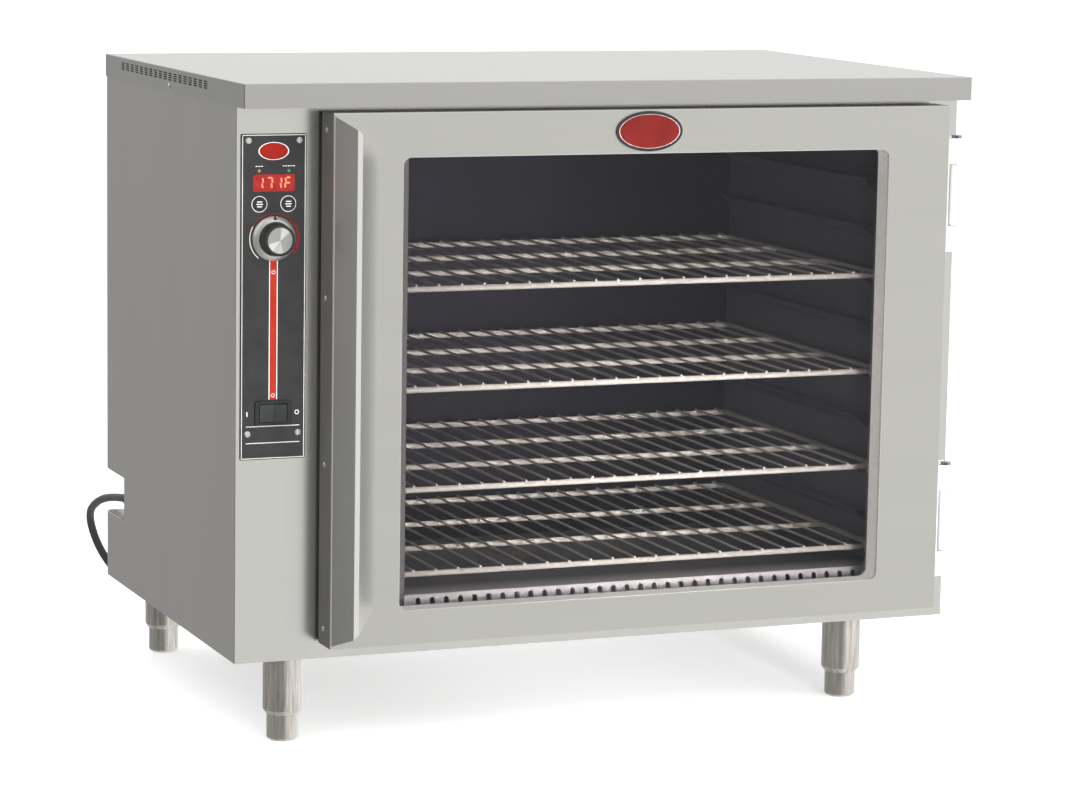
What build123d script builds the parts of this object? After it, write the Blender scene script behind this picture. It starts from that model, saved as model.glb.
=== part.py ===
"""A counter-top heated holding cabinet with a glass door, as separate pieces. Millimetres, +Z up.

The origin lies on the floor under the middle of the cabinet. +X is to the right as seen from the
front, and the door faces -Y. The cabinet stands at rest with its door shut.
"""

from build123d import *
from math import cos, pi, radians, sin, sqrt, tan
import os

os.makedirs("parts", exist_ok=True)

# Casing
cabinet_width = 802.0
cabinet_depth = 510.0
body_height = 584.0
leg_height = 86.0
gauge = 1.2
lip_height = 24.5
front_overhang = 29.0
sheet_bend_radius = 1.0

# Vent grid in the left lip
vent_columns = 18
vent_rows = 4
vent_length = 12.0
vent_height = 1.2
vent_pitch_y = 18.1
vent_pitch_z = 2.2
vent_below_top = 9.5
vent_middle_from_front = 284.0
vent_window_margin = 3.0
cover_screw_below_top = 19.5
cover_screw_from_front = 261.0
cover_screw_radius = 3.0
cover_screw_head = 1.4

# Chamber
chamber_left_wall = 182.0
chamber_right_wall = 60.0
chamber_rear_wall = 41.8
chamber_roof = 52.0
chamber_floor_rise = 26.0
left_insulation = 30.0

# Shelf ledges pressed from the rack walls
ledge_pitch = 51.8
ledge_headroom = 60.0
lowest_ledge_rise = 81.1
floor_ledge_rise = 45.1
ledge_reach = 15.0
ledge_drop = 13.0
ledge_front_setback = 71.0
ledge_back_gap = 14.0

# Wire shelves
shelf_side_gap = 4.0
shelf_front_setback = 28.0
shelf_back_gap = 15.2
shelf_rod_radius = 3.0
shelf_wire_radius = 1.4
shelf_weld_depth = 0.5
shelf_wire_pitch = 24.8
shelf_wire_end_gap = 15.6
shelf_cross_rods = 2
shelf_levels = (5, 3, 1)
slide_clearance = 0.3

# Pan cover, water pan, heating element and probe
cover_front_setback = 14.0
cover_slope = 9.0
cover_height = 28.5
cover_length = 290.0
cover_slot_pitch = 15.6
cover_slot_end_gap = 18.6
cover_slot_width = 5.4
cover_slot_length = 22.0
pan_length = 320.0
pan_width = 150.0
pan_height = 19.0
pan_wall = 0.9
pan_front_setback = 46.0
element_radius = 4.0
element_side_gap = 30.0
element_spacing = 40.0
element_front_setback = 236.0
probe_radius = 3.2
probe_length = 42.0
probe_flange_radius = 10.0
probe_flange = 3.0
probe_below_ceiling = 36.0
probe_from_back = 30.0

# Door
door_left_gap = 88.0
door_right_gap = 31.0
door_top_gap = 29.0
door_rise = 17.5
door_thickness = 35.0
gasket_gap = 5.5
gasket_width = 14.0
gasket_inset = 1.0
rest_clearance = 0.3
window_left_stile = 73.0
window_right_stile = 70.0
window_bottom_rail = 34.5
window_top_rail = 44.0
window_corner_radius = 9.0
glass_thickness = 5.0
glass_lap = 10.0
channel_margin = 2.0
inner_glass_from_back = 4.0
door_screw_radius = 3.0
door_screw_head = 1.2
door_screw_count = 4
door_screw_end_gap = 17.5
door_screw_from_back = 14.0
badge_width = 73.0
badge_height = 41.0
badge_thickness = 1.6
badge_rim = 3.0
badge_step = 0.6
badge_below_door_top = 22.0
badge_from_door_left = 338.0

# Ridge handle folded from one sheet
handle_rise = 28.0
handle_width = 48.0
handle_left_margin = 2.0
handle_end_margin = 3.0
handle_end_drop = 40.0
handle_crest_left = 13.5
handle_crest_width = 5.5

# Edge-mount hinges
hinge_height = 120.0
lower_hinge_rise = 110.5
upper_hinge_drop = 124.0
knuckle_radius = 6.5
knuckle_end_length = 27.0
knuckle_gap = 0.4
hinge_axis_from_door = 14.5
hinge_axis_from_face = 29.0
hinge_leaf = 2.5
hinge_pin_radius = 3.0
running_clearance = 0.05
hinge_cap_radius = 5.5
hinge_cap_height = 3.0
door_leaf_depth = 29.0
body_leaf_width = 25.0
web_half_width = 5.0

# Control plate and what it carries
plate_left_gap = 5.8
plate_width = 67.6
plate_rise = 207.5
plate_top_gap = 51.3
plate_thickness = 1.5
plate_corner_radius = 1.5
plate_screw_spacing = 52.6
plate_screw_top = 6.6
plate_screw_bottom = 26.2
plate_screw_radius = 3.2
plate_screw_head = 1.3
controls_window_margin = 6.0
controls_window_drop = 28.0
controls_window_height = 107.2
display_width = 43.0
display_height = 16.8
display_proud = 0.4
display_drop = 48.6
lamp_radius = 1.7
lamp_proud = 0.8
lamp_spacing = 30.6
lamp_drop = 36.6
button_radius = 7.4
button_drop = 69.5
button_spacing = 29.9
button_proud = 1.0
button_travel = 0.8
button_cap_length = 5.0
button_stem_radius = 2.5
button_clearance = 0.4
knob_drop = 103.8
skirt_radius = 22.3
skirt_thickness = 2.4
knob_gap = 0.5
knob_base_radius = 17.8
knob_top_radius = 15.6
knob_length = 18.0
knob_edge_radius = 1.2
knob_flutes = 36
knob_flute_radius = 0.7
spindle_radius = 3.0
spindle_back_gap = 1.0
encoder_size = 16.0
board_behind_plate = 13.0
board_thickness = 1.6
board_margin = 3.0
board_height = 120.0
bezel_width = 38.0
bezel_height = 24.8
bezel_thickness = 2.0
bezel_corner_radius = 2.0
rocker_rise = 46.7
rocker_half_width = 13.6
rocker_height = 17.6
rocker_tilt = 8.0
rocker_end_rise = 5.2
rocker_middle_rise = 3.4
rocker_back = 3.0
rocker_taper = 1.0
rocker_opening_width = 29.5
rocker_opening_height = 18.7
rocker_pivot_behind_plate = 1.0
rocker_cavity_depth = 9.0
trunnion_radius = 1.5
trunnion_reach = 1.5
switch_body_width = 34.0
switch_body_height = 21.0
switch_body_depth = 22.0
cutout_clearance = 0.3

# Electrical parts in the left compartment
terminal_width = 48.0
terminal_depth = 30.0
terminal_height = 22.0
terminal_ways = 4
terminal_hole_radius = 3.5
relay_width = 45.0
relay_depth = 58.0
relay_height = 32.0
relay_base_height = 6.0
relay_base_margin = 5.0
compartment_part_gap = 60.0
terminal_from_front = 300.0
relay_from_front = 180.0

# Legs
leg_radius = 20.6
leg_taper = 5.0
leg_end_radius = 17.4
foot_radius = 16.5
foot_height = 26.6
foot_edge = 2.5
foot_gap = 0.4
foot_stem_radius = 8.0
foot_stem_length = 45.0
leg_left_inset = 60.0
leg_right_inset = 109.0
leg_end_inset = 24.0

# Cord recess and mains lead
recess_length = 69.0
recess_height = 48.5
recess_rise = 73.0
recess_width = 42.0
recess_sheet = 1.0
relief_flange_radius = 9.5
relief_flange = 3.0
relief_length = 33.45
cord_exit_inset = 13.0
cord_exit_rise = 19.0
relief_root_radius = 8.0
relief_tip_radius = 5.6
cord_diameter = 9.0
cord_floor_gap = 1.6
turn_pitch = 9.8
coil_turns = 2
coil_mean_radius = 48.0
coil_centre_x = -100.0
climb_half_turns = 1
tie_width = 8.0
tie_thickness = 1.1
tie_gap = 0.4
tie_share_of_turn = 0.75
plug_tail_length = 18.0
plug_radius = 14.0
plug_length = 40.0
plug_neck_radius = 7.0
plug_neck_length = 14.0
plug_edge_radius = 2.0
blade_length = 18.0
blade_width = 6.3
blade_thickness = 1.5
blade_spacing = 12.7
ground_pin_radius = 2.4
ground_pin_drop = 8.0

# Places worked out from the sizes above
door_proud = door_thickness + gasket_gap - front_overhang
total_depth = cabinet_depth + door_proud + handle_rise
x_left = -cabinet_width / 2
x_right = cabinet_width / 2
y_rear = total_depth / 2
y_lip = y_rear - cabinet_depth
y_face = y_lip + front_overhang
y_door_back = y_face - gasket_gap
y_door_front = y_door_back - door_thickness
z_base = leg_height
z_top = z_base + body_height
z_lip = z_top - lip_height
panel_left = x_left + gauge
panel_right = x_right - gauge
inside_left = panel_left + gauge
inside_right = panel_right - gauge
y_panel_rear = y_rear - gauge
y_inside_rear = y_panel_rear - gauge
y_behind_face = y_face + gauge
chamber_left = x_left + chamber_left_wall
chamber_right = x_right - chamber_right_wall
chamber_floor = z_base + chamber_floor_rise
chamber_ceiling = z_top - chamber_roof
chamber_back = y_rear - chamber_rear_wall
slab_left = chamber_left - gauge - left_insulation
door_left = x_left + door_left_gap
door_right = x_right - door_right_gap
door_bottom = z_base + door_rise
door_top = z_top - door_top_gap
window_left = door_left + window_left_stile
window_right = door_right - window_right_stile
window_bottom = door_bottom + window_bottom_rail
window_top = door_top - window_top_rail
window_width = window_right - window_left
window_height = window_top - window_bottom
window_x = (window_left + window_right) / 2
window_z = (window_bottom + window_top) / 2
plate_left = x_left + plate_left_gap
plate_x = plate_left + plate_width / 2
plate_bottom = z_base + plate_rise
plate_top = z_top - plate_top_gap
plate_height = plate_top - plate_bottom
y_plate = y_face - plate_thickness
y_board = y_face + board_behind_plate


def box_sketch(x0, x1, y0, y1, z):
    """A flat rectangle at height z, by its edges."""
    with BuildSketch(Plane.XY.offset(z)) as outline:
        with Locations(((x0 + x1) / 2, (y0 + y1) / 2)):
            Rectangle(x1 - x0, y1 - y0)
    return outline.sketch


def slab(x0, x1, y0, y1, z0, z1, mode=Mode.ADD):
    """A square-edged block between two corners, joined to or cut from the piece in hand."""
    extrude(box_sketch(x0, x1, y0, y1, z0), amount=z1 - z0, mode=mode)


def front_plane(x, y, z):
    """A plane facing the front at y, with its own X to the right and its own Y up."""
    return Plane(origin=(x, y, z), x_dir=(1, 0, 0), z_dir=(0, -1, 0))


def front_disc(x, z, radius, y_front, y_back, mode=Mode.ADD):
    """A round bar lying along Y between two depths."""
    with BuildSketch(front_plane(x, y_back, z)) as outline:
        Circle(radius)
    extrude(outline.sketch, amount=y_back - y_front, mode=mode)


def front_window(x, z, width, height, radius, y_front, y_back, mode=Mode.ADD):
    """A block with rounded corners in front view, between two depths."""
    with BuildSketch(front_plane(x, y_back, z)) as outline:
        RectangleRounded(width, height, radius)
    extrude(outline.sketch, amount=y_back - y_front, mode=mode)


def bar_along_x(x0, x1, y, z, radius, mode=Mode.ADD):
    """A round bar lying along X."""
    with BuildSketch(Plane.YZ.offset(x0)) as outline:
        with Locations((y, z)):
            Circle(radius)
    extrude(outline.sketch, amount=x1 - x0, mode=mode)


def keep(piece, name):
    """Label a finished piece and write it to its own file."""
    piece.label = name
    export_step(piece, f"parts/{name}.step")


# Top cover: a folded sheet with a lip all round, a return under the front lip and the vent grid
vent_y = y_lip + vent_middle_from_front
vent_z = z_top - vent_below_top
with BuildPart() as top_cover:
    slab(x_left, x_right, y_lip, y_rear, z_lip, z_top)
    bends = top_cover.edges().filter_by(Axis.Z) + top_cover.edges().group_by(Axis.Z)[-1]
    fillet(bends, radius=sheet_bend_radius)
    slab(x_left + gauge, x_right - gauge, y_lip + gauge, y_rear - gauge, z_lip, z_top - gauge,
         mode=Mode.SUBTRACT)
    slab(x_left + gauge, x_right - gauge, y_lip + gauge, y_face, z_lip, z_lip + gauge)
    with BuildSketch(Plane.YZ.offset(x_left)) as vents:
        with Locations((vent_y, vent_z)):
            with GridLocations(vent_pitch_y, vent_pitch_z, vent_columns, vent_rows):
                Rectangle(vent_length, vent_height)
    extrude(vents.sketch, amount=gauge, mode=Mode.SUBTRACT)
    with BuildSketch(Plane.YZ.offset(x_left)) as screw_holes:
        with Locations((y_lip + cover_screw_from_front, z_top - cover_screw_below_top)):
            Circle(cover_screw_radius / 2)
    extrude(screw_holes.sketch, amount=cabinet_width, mode=Mode.SUBTRACT)
keep(top_cover.part, "top_cover")

with BuildPart() as cover_screws:
    for head_x, reach in ((x_left, -1), (x_right, 1)):
        with BuildSketch(Plane.YZ.offset(head_x)) as head:
            with Locations((y_lip + cover_screw_from_front, z_top - cover_screw_below_top)):
                Circle(cover_screw_radius)
        extrude(head.sketch, amount=reach * cover_screw_head)
        with BuildSketch(Plane.YZ.offset(head_x)) as shank:
            with Locations((y_lip + cover_screw_from_front, z_top - cover_screw_below_top)):
                Circle(cover_screw_radius / 2 - running_clearance)
        extrude(shank.sketch, amount=-reach * gauge)
keep(cover_screws.part, "cover_screws")

# Side panels stand between the face sheet and the rear, inside the lips
recess_front = y_panel_rear - recess_length
recess_bottom = z_base + recess_rise
recess_top = recess_bottom + recess_height
vent_half_run = vent_columns * vent_pitch_y / 2 + vent_window_margin
with BuildPart() as left_side_panel:
    slab(panel_left, inside_left, y_behind_face, y_panel_rear, z_base, z_top - gauge)
    slab(panel_left, inside_left, recess_front, y_panel_rear, recess_bottom, recess_top,
         mode=Mode.SUBTRACT)
    slab(panel_left, inside_left, vent_y - vent_half_run, vent_y + vent_half_run,
         vent_z - vent_rows * vent_pitch_z / 2 - vent_window_margin, z_top - gauge,
         mode=Mode.SUBTRACT)
keep(left_side_panel.part, "left_side_panel")

with BuildPart() as right_side_panel:
    slab(inside_right, panel_right, y_behind_face, y_panel_rear, z_base, z_top - gauge)
keep(right_side_panel.part, "right_side_panel")

recess_right = inside_left + recess_width
with BuildPart() as back_panel:
    slab(inside_left, inside_right, y_inside_rear, y_panel_rear, z_base, z_top - gauge)
    slab(inside_left, recess_right, y_inside_rear, y_panel_rear, recess_bottom, recess_top,
         mode=Mode.SUBTRACT)
keep(back_panel.part, "back_panel")

with BuildPart() as bottom_panel:
    slab(inside_left, inside_right, y_behind_face, y_inside_rear, z_base, z_base + gauge)
keep(bottom_panel.part, "bottom_panel")

# Face sheet: chamber mouth, a window behind the control plate and a hole for the switch
rocker_z = plate_bottom + rocker_rise
controls_top = plate_top - controls_window_drop
controls_bottom = controls_top - controls_window_height
with BuildPart() as front_frame:
    slab(panel_left, panel_right, y_face, y_behind_face, z_base, z_top - gauge)
    slab(chamber_left, chamber_right, y_face, y_behind_face, chamber_floor, chamber_ceiling,
         mode=Mode.SUBTRACT)
    slab(plate_left + controls_window_margin, plate_left + plate_width - controls_window_margin,
         y_face, y_behind_face, controls_bottom, controls_top, mode=Mode.SUBTRACT)
    slab(plate_x - switch_body_width / 2 - cutout_clearance,
         plate_x + switch_body_width / 2 + cutout_clearance,
         y_face, y_behind_face,
         rocker_z - switch_body_height / 2 - cutout_clearance,
         rocker_z + switch_body_height / 2 + cutout_clearance, mode=Mode.SUBTRACT)
keep(front_frame.part, "front_frame")

# Chamber liner sheets
with BuildPart() as ceiling_liner:
    slab(chamber_left - gauge, chamber_right + gauge, y_behind_face, chamber_back + gauge,
         chamber_ceiling, chamber_ceiling + gauge)
keep(ceiling_liner.part, "ceiling_liner")

with BuildPart() as floor_liner:
    slab(chamber_left - gauge, chamber_right + gauge, y_behind_face, chamber_back + gauge,
         chamber_floor - gauge, chamber_floor)
keep(floor_liner.part, "floor_liner")

with BuildPart() as back_liner:
    slab(chamber_left - gauge, chamber_right + gauge, chamber_back, chamber_back + gauge,
         chamber_floor, chamber_ceiling)
keep(back_liner.part, "back_liner")

ledge_room = chamber_ceiling - chamber_floor - lowest_ledge_rise - ledge_headroom
ledge_levels = int(ledge_room / ledge_pitch) + 1
ledge_tops = [chamber_floor + floor_ledge_rise]
for level in range(ledge_levels):
    ledge_tops.append(chamber_floor + lowest_ledge_rise + level * ledge_pitch)
ledge_front = y_face + ledge_front_setback
ledge_rear = chamber_back - ledge_back_gap


def rack_wall(wall_face, inward, name):
    """A liner wall whose ledges are folded strips: flat on top, sloping back to the wall below."""
    with BuildPart() as wall:
        slab(min(wall_face, wall_face - inward * gauge), max(wall_face, wall_face - inward * gauge),
             y_behind_face, chamber_back, chamber_floor, chamber_ceiling)
        for ledge_top in ledge_tops:
            tip = wall_face + inward * ledge_reach
            with BuildSketch(Plane.XZ.offset(-ledge_front)) as ledge:
                with BuildLine():
                    Polyline(
                        (wall_face, ledge_top), (tip, ledge_top), (tip, ledge_top - gauge),
                        (wall_face, ledge_top - ledge_drop),
                        (wall_face, ledge_top - ledge_drop + 2 * gauge),
                        (tip - 2 * inward * gauge, ledge_top - gauge), (wall_face, ledge_top - gauge),
                        (wall_face, ledge_top))
                make_face()
            extrude(ledge.sketch, amount=-(ledge_rear - ledge_front))
    keep(wall.part, name)


rack_wall(chamber_left, 1, "left_rack_wall")
rack_wall(chamber_right, -1, "right_rack_wall")

# Insulation: bottom, top, left, right and back slabs between the liner and the casing
with BuildPart() as insulation_slabs:
    slab(slab_left, inside_right, y_behind_face, y_inside_rear, z_base + gauge, chamber_floor - gauge)
    slab(slab_left, inside_right, y_behind_face, y_inside_rear, chamber_ceiling + gauge,
         z_top - gauge)
with BuildPart() as side_slabs:
    slab(slab_left, chamber_left - gauge, y_behind_face, y_inside_rear, chamber_floor - gauge,
         chamber_ceiling + gauge)
    slab(chamber_right + gauge, inside_right, y_behind_face, y_inside_rear, chamber_floor - gauge,
         chamber_ceiling + gauge)
with BuildPart() as back_slab:
    slab(chamber_left - gauge, chamber_right + gauge, chamber_back + gauge, y_inside_rear,
         chamber_floor - gauge, chamber_ceiling + gauge)
wool = insulation_slabs.part.solids() + side_slabs.part.solids() + back_slab.part.solids()
keep(Compound(children=list(wool)), "insulation_slabs")

# Cord recess: a folded box, open to the left and to the rear
with BuildPart() as cord_recess:
    slab(inside_left, recess_right, recess_front, y_panel_rear, recess_bottom, recess_top)
    slab(inside_left, recess_right - recess_sheet, recess_front + recess_sheet, y_panel_rear,
         recess_bottom + recess_sheet, recess_top - recess_sheet, mode=Mode.SUBTRACT)
keep(cord_recess.part, "cord_recess")

# Wire shelf: a welded rod frame with thin wires on top
shelf_front = y_face + shelf_front_setback
shelf_rear = chamber_back - shelf_back_gap
shelf_left = chamber_left + shelf_side_gap
shelf_right = chamber_right - shelf_side_gap
shelf_x = (shelf_left + shelf_right) / 2
shelf_wires = round((shelf_right - shelf_left - 2 * shelf_wire_end_gap) / shelf_wire_pitch) + 1


def wire_shelf(ledge_top, name):
    """One shelf standing on the ledges at one level."""
    rod_z = ledge_top + slide_clearance + shelf_rod_radius
    wire_z = rod_z + shelf_rod_radius + shelf_wire_radius - shelf_weld_depth
    front = shelf_front + shelf_rod_radius
    rear = shelf_rear - shelf_rod_radius
    left = shelf_left + shelf_rod_radius
    right = shelf_right - shelf_rod_radius
    with BuildPart() as shelf:
        with BuildLine() as frame_line:
            FilletPolyline(
                (shelf_x, front, rod_z), (right, front, rod_z), (right, rear, rod_z),
                (left, rear, rod_z), (left, front, rod_z),
                radius=[0] + 4 * [2 * shelf_rod_radius], close=True)
        with BuildSketch(Plane(origin=frame_line.line @ 0, z_dir=frame_line.line % 0)) as section:
            Circle(shelf_rod_radius)
        sweep(section.sketch, path=frame_line.line)
        for cross in range(shelf_cross_rods):
            cross_y = front + (rear - front) * (cross + 1) / (shelf_cross_rods + 1)
            bar_along_x(left, right, cross_y, rod_z, shelf_rod_radius)
        with BuildSketch(Plane.XZ.offset(-(front - shelf_rod_radius))) as wires:
            with Locations((shelf_x, wire_z)):
                with GridLocations(shelf_wire_pitch, 1, shelf_wires, 1):
                    Circle(shelf_wire_radius)
        extrude(wires.sketch, amount=-(rear - front + 2 * shelf_rod_radius))
    keep(shelf.part, name)


for number, shelf_level in enumerate(shelf_levels):
    wire_shelf(ledge_tops[shelf_level + 1], f"wire_shelf_{number + 1}")
wire_shelf(ledge_tops[0], f"wire_shelf_{len(shelf_levels) + 1}")

# Pan cover: a folded sheet with a sloping slotted front and a slotted rear flange
cover_left = shelf_left
cover_right = shelf_right
cover_front = y_face + cover_front_setback
cover_rear = cover_front + cover_length
cover_top = chamber_floor + cover_height
cover_slots = round((cover_right - cover_left - 2 * cover_slot_end_gap) / cover_slot_pitch) + 1
with BuildPart() as pan_cover:
    with BuildSketch(Plane.YZ.offset(cover_left)) as fold:
        with BuildLine():
            Polyline(
                (cover_front, chamber_floor), (cover_front + cover_slope, cover_top),
                (cover_rear, cover_top), (cover_rear, chamber_floor),
                (cover_rear - gauge, chamber_floor), (cover_rear - gauge, cover_top - gauge),
                (cover_front + cover_slope + gauge, cover_top - gauge),
                (cover_front + gauge, chamber_floor), (cover_front, chamber_floor))
        make_face()
    extrude(fold.sketch, amount=cover_right - cover_left)
    with BuildSketch(front_plane(shelf_x, cover_front - gauge, chamber_floor + cover_height / 2)) \
            as slots:
        with GridLocations(cover_slot_pitch, 1, cover_slots, 1):
            SlotOverall(cover_slot_length, cover_slot_width, rotation=90)
    extrude(slots.sketch, amount=-(cover_length + 2 * gauge), mode=Mode.SUBTRACT)
keep(pan_cover.part, "pan_cover")

pan_front = y_face + pan_front_setback
with BuildPart() as water_pan:
    slab(shelf_x - pan_length / 2, shelf_x + pan_length / 2, pan_front, pan_front + pan_width,
         chamber_floor, chamber_floor + pan_height)
    rims = water_pan.faces().sort_by(Axis.Z)[-1]
    offset(amount=-pan_wall, openings=rims)
keep(water_pan.part, "water_pan")

# Heating element: a hairpin of metal-clad tube lying on the chamber floor behind the pan
element_front = y_face + element_front_setback
element_z = chamber_floor + element_radius
element_left = chamber_left + element_side_gap
element_right = chamber_right - element_side_gap
with BuildPart() as heating_element:
    with BuildLine() as hairpin:
        FilletPolyline(
            (element_left, element_front, element_z),
            (element_right, element_front, element_z),
            (element_right, element_front + element_spacing, element_z),
            (element_left, element_front + element_spacing, element_z),
            radius=element_spacing / 2 - element_radius / 2)
    with BuildSketch(Plane(origin=hairpin.line @ 0, z_dir=hairpin.line % 0)) as section:
        Circle(element_radius)
    sweep(section.sketch, path=hairpin.line)
keep(heating_element.part, "heating_element")

probe_z = chamber_ceiling - probe_below_ceiling
probe_y = chamber_back - probe_from_back
with BuildPart() as temperature_probe:
    bar_along_x(chamber_left, chamber_left + probe_flange, probe_y, probe_z, probe_flange_radius)
    bar_along_x(chamber_left, chamber_left + probe_length, probe_y, probe_z, probe_radius)
    tip_edges = temperature_probe.edges().group_by(Axis.X)[-1]
    fillet(tip_edges, radius=probe_radius / 2)
keep(temperature_probe.part, "temperature_probe")

# Door: outer sheet with folded sides, rear sheet with the window channel, two panes and a gasket
channel_width = window_width + 2 * channel_margin
channel_height = window_height + 2 * channel_margin
channel_radius = window_corner_radius + channel_margin
y_outer_glass = y_door_front + gauge
y_channel = y_outer_glass + glass_thickness
with BuildPart() as door_shell:
    slab(door_left, door_right, y_door_front, y_door_back, door_bottom, door_top)
    fillet(door_shell.edges().filter_by(Axis.Y), radius=sheet_bend_radius)
    fillet(door_shell.edges().group_by(Axis.Y)[0], radius=sheet_bend_radius)
    slab(door_left + gauge, door_right - gauge, y_door_front + gauge, y_door_back,
         door_bottom + gauge, door_top - gauge, mode=Mode.SUBTRACT)
    front_window(window_x, window_z, window_width, window_height, window_corner_radius,
                 y_door_front - gauge, y_door_front + gauge, mode=Mode.SUBTRACT)
keep(door_shell.part, "door_shell")

with BuildPart() as door_liner:
    slab(door_left + gauge, door_right - gauge, y_door_back - gauge, y_door_back,
         door_bottom + gauge, door_top - gauge)
    front_window(window_x, window_z, channel_width + 2 * gauge, channel_height + 2 * gauge,
                 channel_radius + gauge, y_channel, y_door_back)
    front_window(window_x, window_z, channel_width, channel_height, channel_radius,
                 y_channel, y_door_back, mode=Mode.SUBTRACT)
keep(door_liner.part, "door_liner")

with BuildPart() as outer_glass:
    front_window(window_x, window_z, window_width + 2 * glass_lap, window_height + 2 * glass_lap,
                 window_corner_radius, y_outer_glass, y_channel)
keep(outer_glass.part, "outer_glass")

with BuildPart() as inner_glass:
    front_window(window_x, window_z, channel_width, channel_height, channel_radius,
                 y_door_back - inner_glass_from_back - glass_thickness,
                 y_door_back - inner_glass_from_back)
keep(inner_glass.part, "inner_glass")

y_gasket = y_face - rest_clearance
with BuildPart() as door_gasket:
    slab(door_left + gasket_inset, door_right - gasket_inset, y_door_back, y_gasket,
         door_bottom + gasket_inset, door_top - gasket_inset)
    fillet(door_gasket.edges().filter_by(Axis.Y), radius=gasket_width / 4)
    slab(door_left + gasket_inset + gasket_width, door_right - gasket_inset - gasket_width,
         y_door_back, y_gasket, door_bottom + gasket_inset + gasket_width,
         door_top - gasket_inset - gasket_width, mode=Mode.SUBTRACT)
keep(door_gasket.part, "door_gasket")

# Ridge handle: a folded sheet ridge along the left stile, mitred at both ends
handle_left = door_left + handle_left_margin
handle_right = handle_left + handle_width
handle_low = door_bottom + handle_end_margin
handle_high = door_top - handle_end_margin
crest_left = handle_left + handle_crest_left
crest_right = crest_left + handle_crest_width
y_crest = y_door_front - handle_rise
with BuildPart() as door_handle:
    with BuildSketch(Plane.XY.offset(handle_low)) as ridge:
        with BuildLine():
            Polyline(
                (handle_left, y_door_front), (crest_left, y_crest), (crest_right, y_crest),
                (handle_right, y_door_front), (handle_left, y_door_front))
        make_face()
    extrude(ridge.sketch, amount=handle_high - handle_low)
    with BuildSketch(front_plane(0, y_door_front, 0)) as mitres:
        with BuildLine():
            Polyline(
                (handle_left, handle_high), (handle_right, handle_high),
                (handle_right, handle_high - handle_end_drop), (handle_left, handle_high))
        make_face()
        with BuildLine():
            Polyline(
                (handle_left, handle_low), (handle_right, handle_low),
                (handle_right, handle_low + handle_end_drop), (handle_left, handle_low))
        make_face()
    extrude(mitres.sketch, amount=handle_rise, mode=Mode.SUBTRACT)
    back_face = door_handle.faces().sort_by(Axis.Y)[-1]
    offset(amount=-gauge, openings=back_face)
keep(door_handle.part, "door_handle")

door_screw_pitch = (door_top - door_bottom - 2 * door_screw_end_gap) / (door_screw_count - 1)
with BuildPart() as door_screws:
    with BuildSketch(Plane.YZ.offset(door_left)) as heads:
        with Locations((y_door_back - door_screw_from_back, (door_bottom + door_top) / 2)):
            with GridLocations(1, door_screw_pitch, 1, door_screw_count):
                Circle(door_screw_radius)
    extrude(heads.sketch, amount=-door_screw_head)
    fillet(door_screws.edges().group_by(Axis.X)[0], radius=door_screw_head / 2)
keep(door_screws.part, "door_screws")

badge_x = door_left + badge_from_door_left
badge_z = door_top - badge_below_door_top
with BuildPart() as door_badge:
    with BuildSketch(front_plane(badge_x, y_door_front, badge_z)) as plate_outline:
        Ellipse(badge_width / 2, badge_height / 2)
    extrude(plate_outline.sketch, amount=badge_thickness)
    with BuildSketch(front_plane(badge_x, y_door_front - badge_thickness, badge_z)) as field:
        Ellipse(badge_width / 2 - badge_rim, badge_height / 2 - badge_rim)
    extrude(field.sketch, amount=-badge_step, mode=Mode.SUBTRACT)
keep(door_badge.part, "door_badge")

# Hinges: the body leaf carries the middle knuckle and the door leaf the two end knuckles
hinge_x = door_right + hinge_axis_from_door
hinge_y = y_face - hinge_axis_from_face
door_leaf_front = y_door_front + (door_thickness - door_leaf_depth) / 2
pin_bore = hinge_pin_radius + running_clearance


def knuckle(low, high, mode=Mode.ADD, radius=knuckle_radius):
    """A round knuckle, or its bore, on the hinge axis between two heights."""
    with BuildSketch(Plane.XY.offset(low)) as outline:
        with Locations((hinge_x, hinge_y)):
            Circle(radius)
    extrude(outline.sketch, amount=high - low, mode=mode)


def hinge(centre, name):
    """Both leaves of one hinge, at one height."""
    low = centre - hinge_height / 2
    high = centre + hinge_height / 2
    middle_low = low + knuckle_end_length
    middle_high = high - knuckle_end_length
    with BuildPart() as body_leaf:
        slab(hinge_x - body_leaf_width / 2, hinge_x + body_leaf_width / 2, y_face - hinge_leaf,
             y_face, low, high)
        slab(hinge_x - web_half_width, hinge_x + web_half_width, hinge_y, y_face,
             middle_low + knuckle_gap, middle_high - knuckle_gap)
        knuckle(middle_low + knuckle_gap, middle_high - knuckle_gap)
        knuckle(low, high, mode=Mode.SUBTRACT, radius=pin_bore)
    keep(body_leaf.part, f"{name}_hinge_body_leaf")
    with BuildPart() as door_leaf:
        slab(door_right, door_right + hinge_leaf, door_leaf_front,
             door_leaf_front + door_leaf_depth, low, high)
        for end_low, end_high in ((low, middle_low), (middle_high, high)):
            slab(door_right, hinge_x, hinge_y - web_half_width, hinge_y + web_half_width,
                 end_low, end_high)
            knuckle(end_low, end_high)
        knuckle(low, high, mode=Mode.SUBTRACT, radius=pin_bore)
    keep(door_leaf.part, f"{name}_hinge_door_leaf")


hinge_centres = {"lower": z_base + lower_hinge_rise, "upper": z_top - upper_hinge_drop}
for name, centre in hinge_centres.items():
    hinge(centre, name)

with BuildPart() as hinge_pins:
    for centre in hinge_centres.values():
        pin_low = centre - hinge_height / 2
        pin_high = centre + hinge_height / 2
        knuckle(pin_low, pin_high, radius=hinge_pin_radius)
        knuckle(pin_high, pin_high + hinge_cap_height, radius=hinge_cap_radius)
keep(hinge_pins.part, "hinge_pins")

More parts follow.
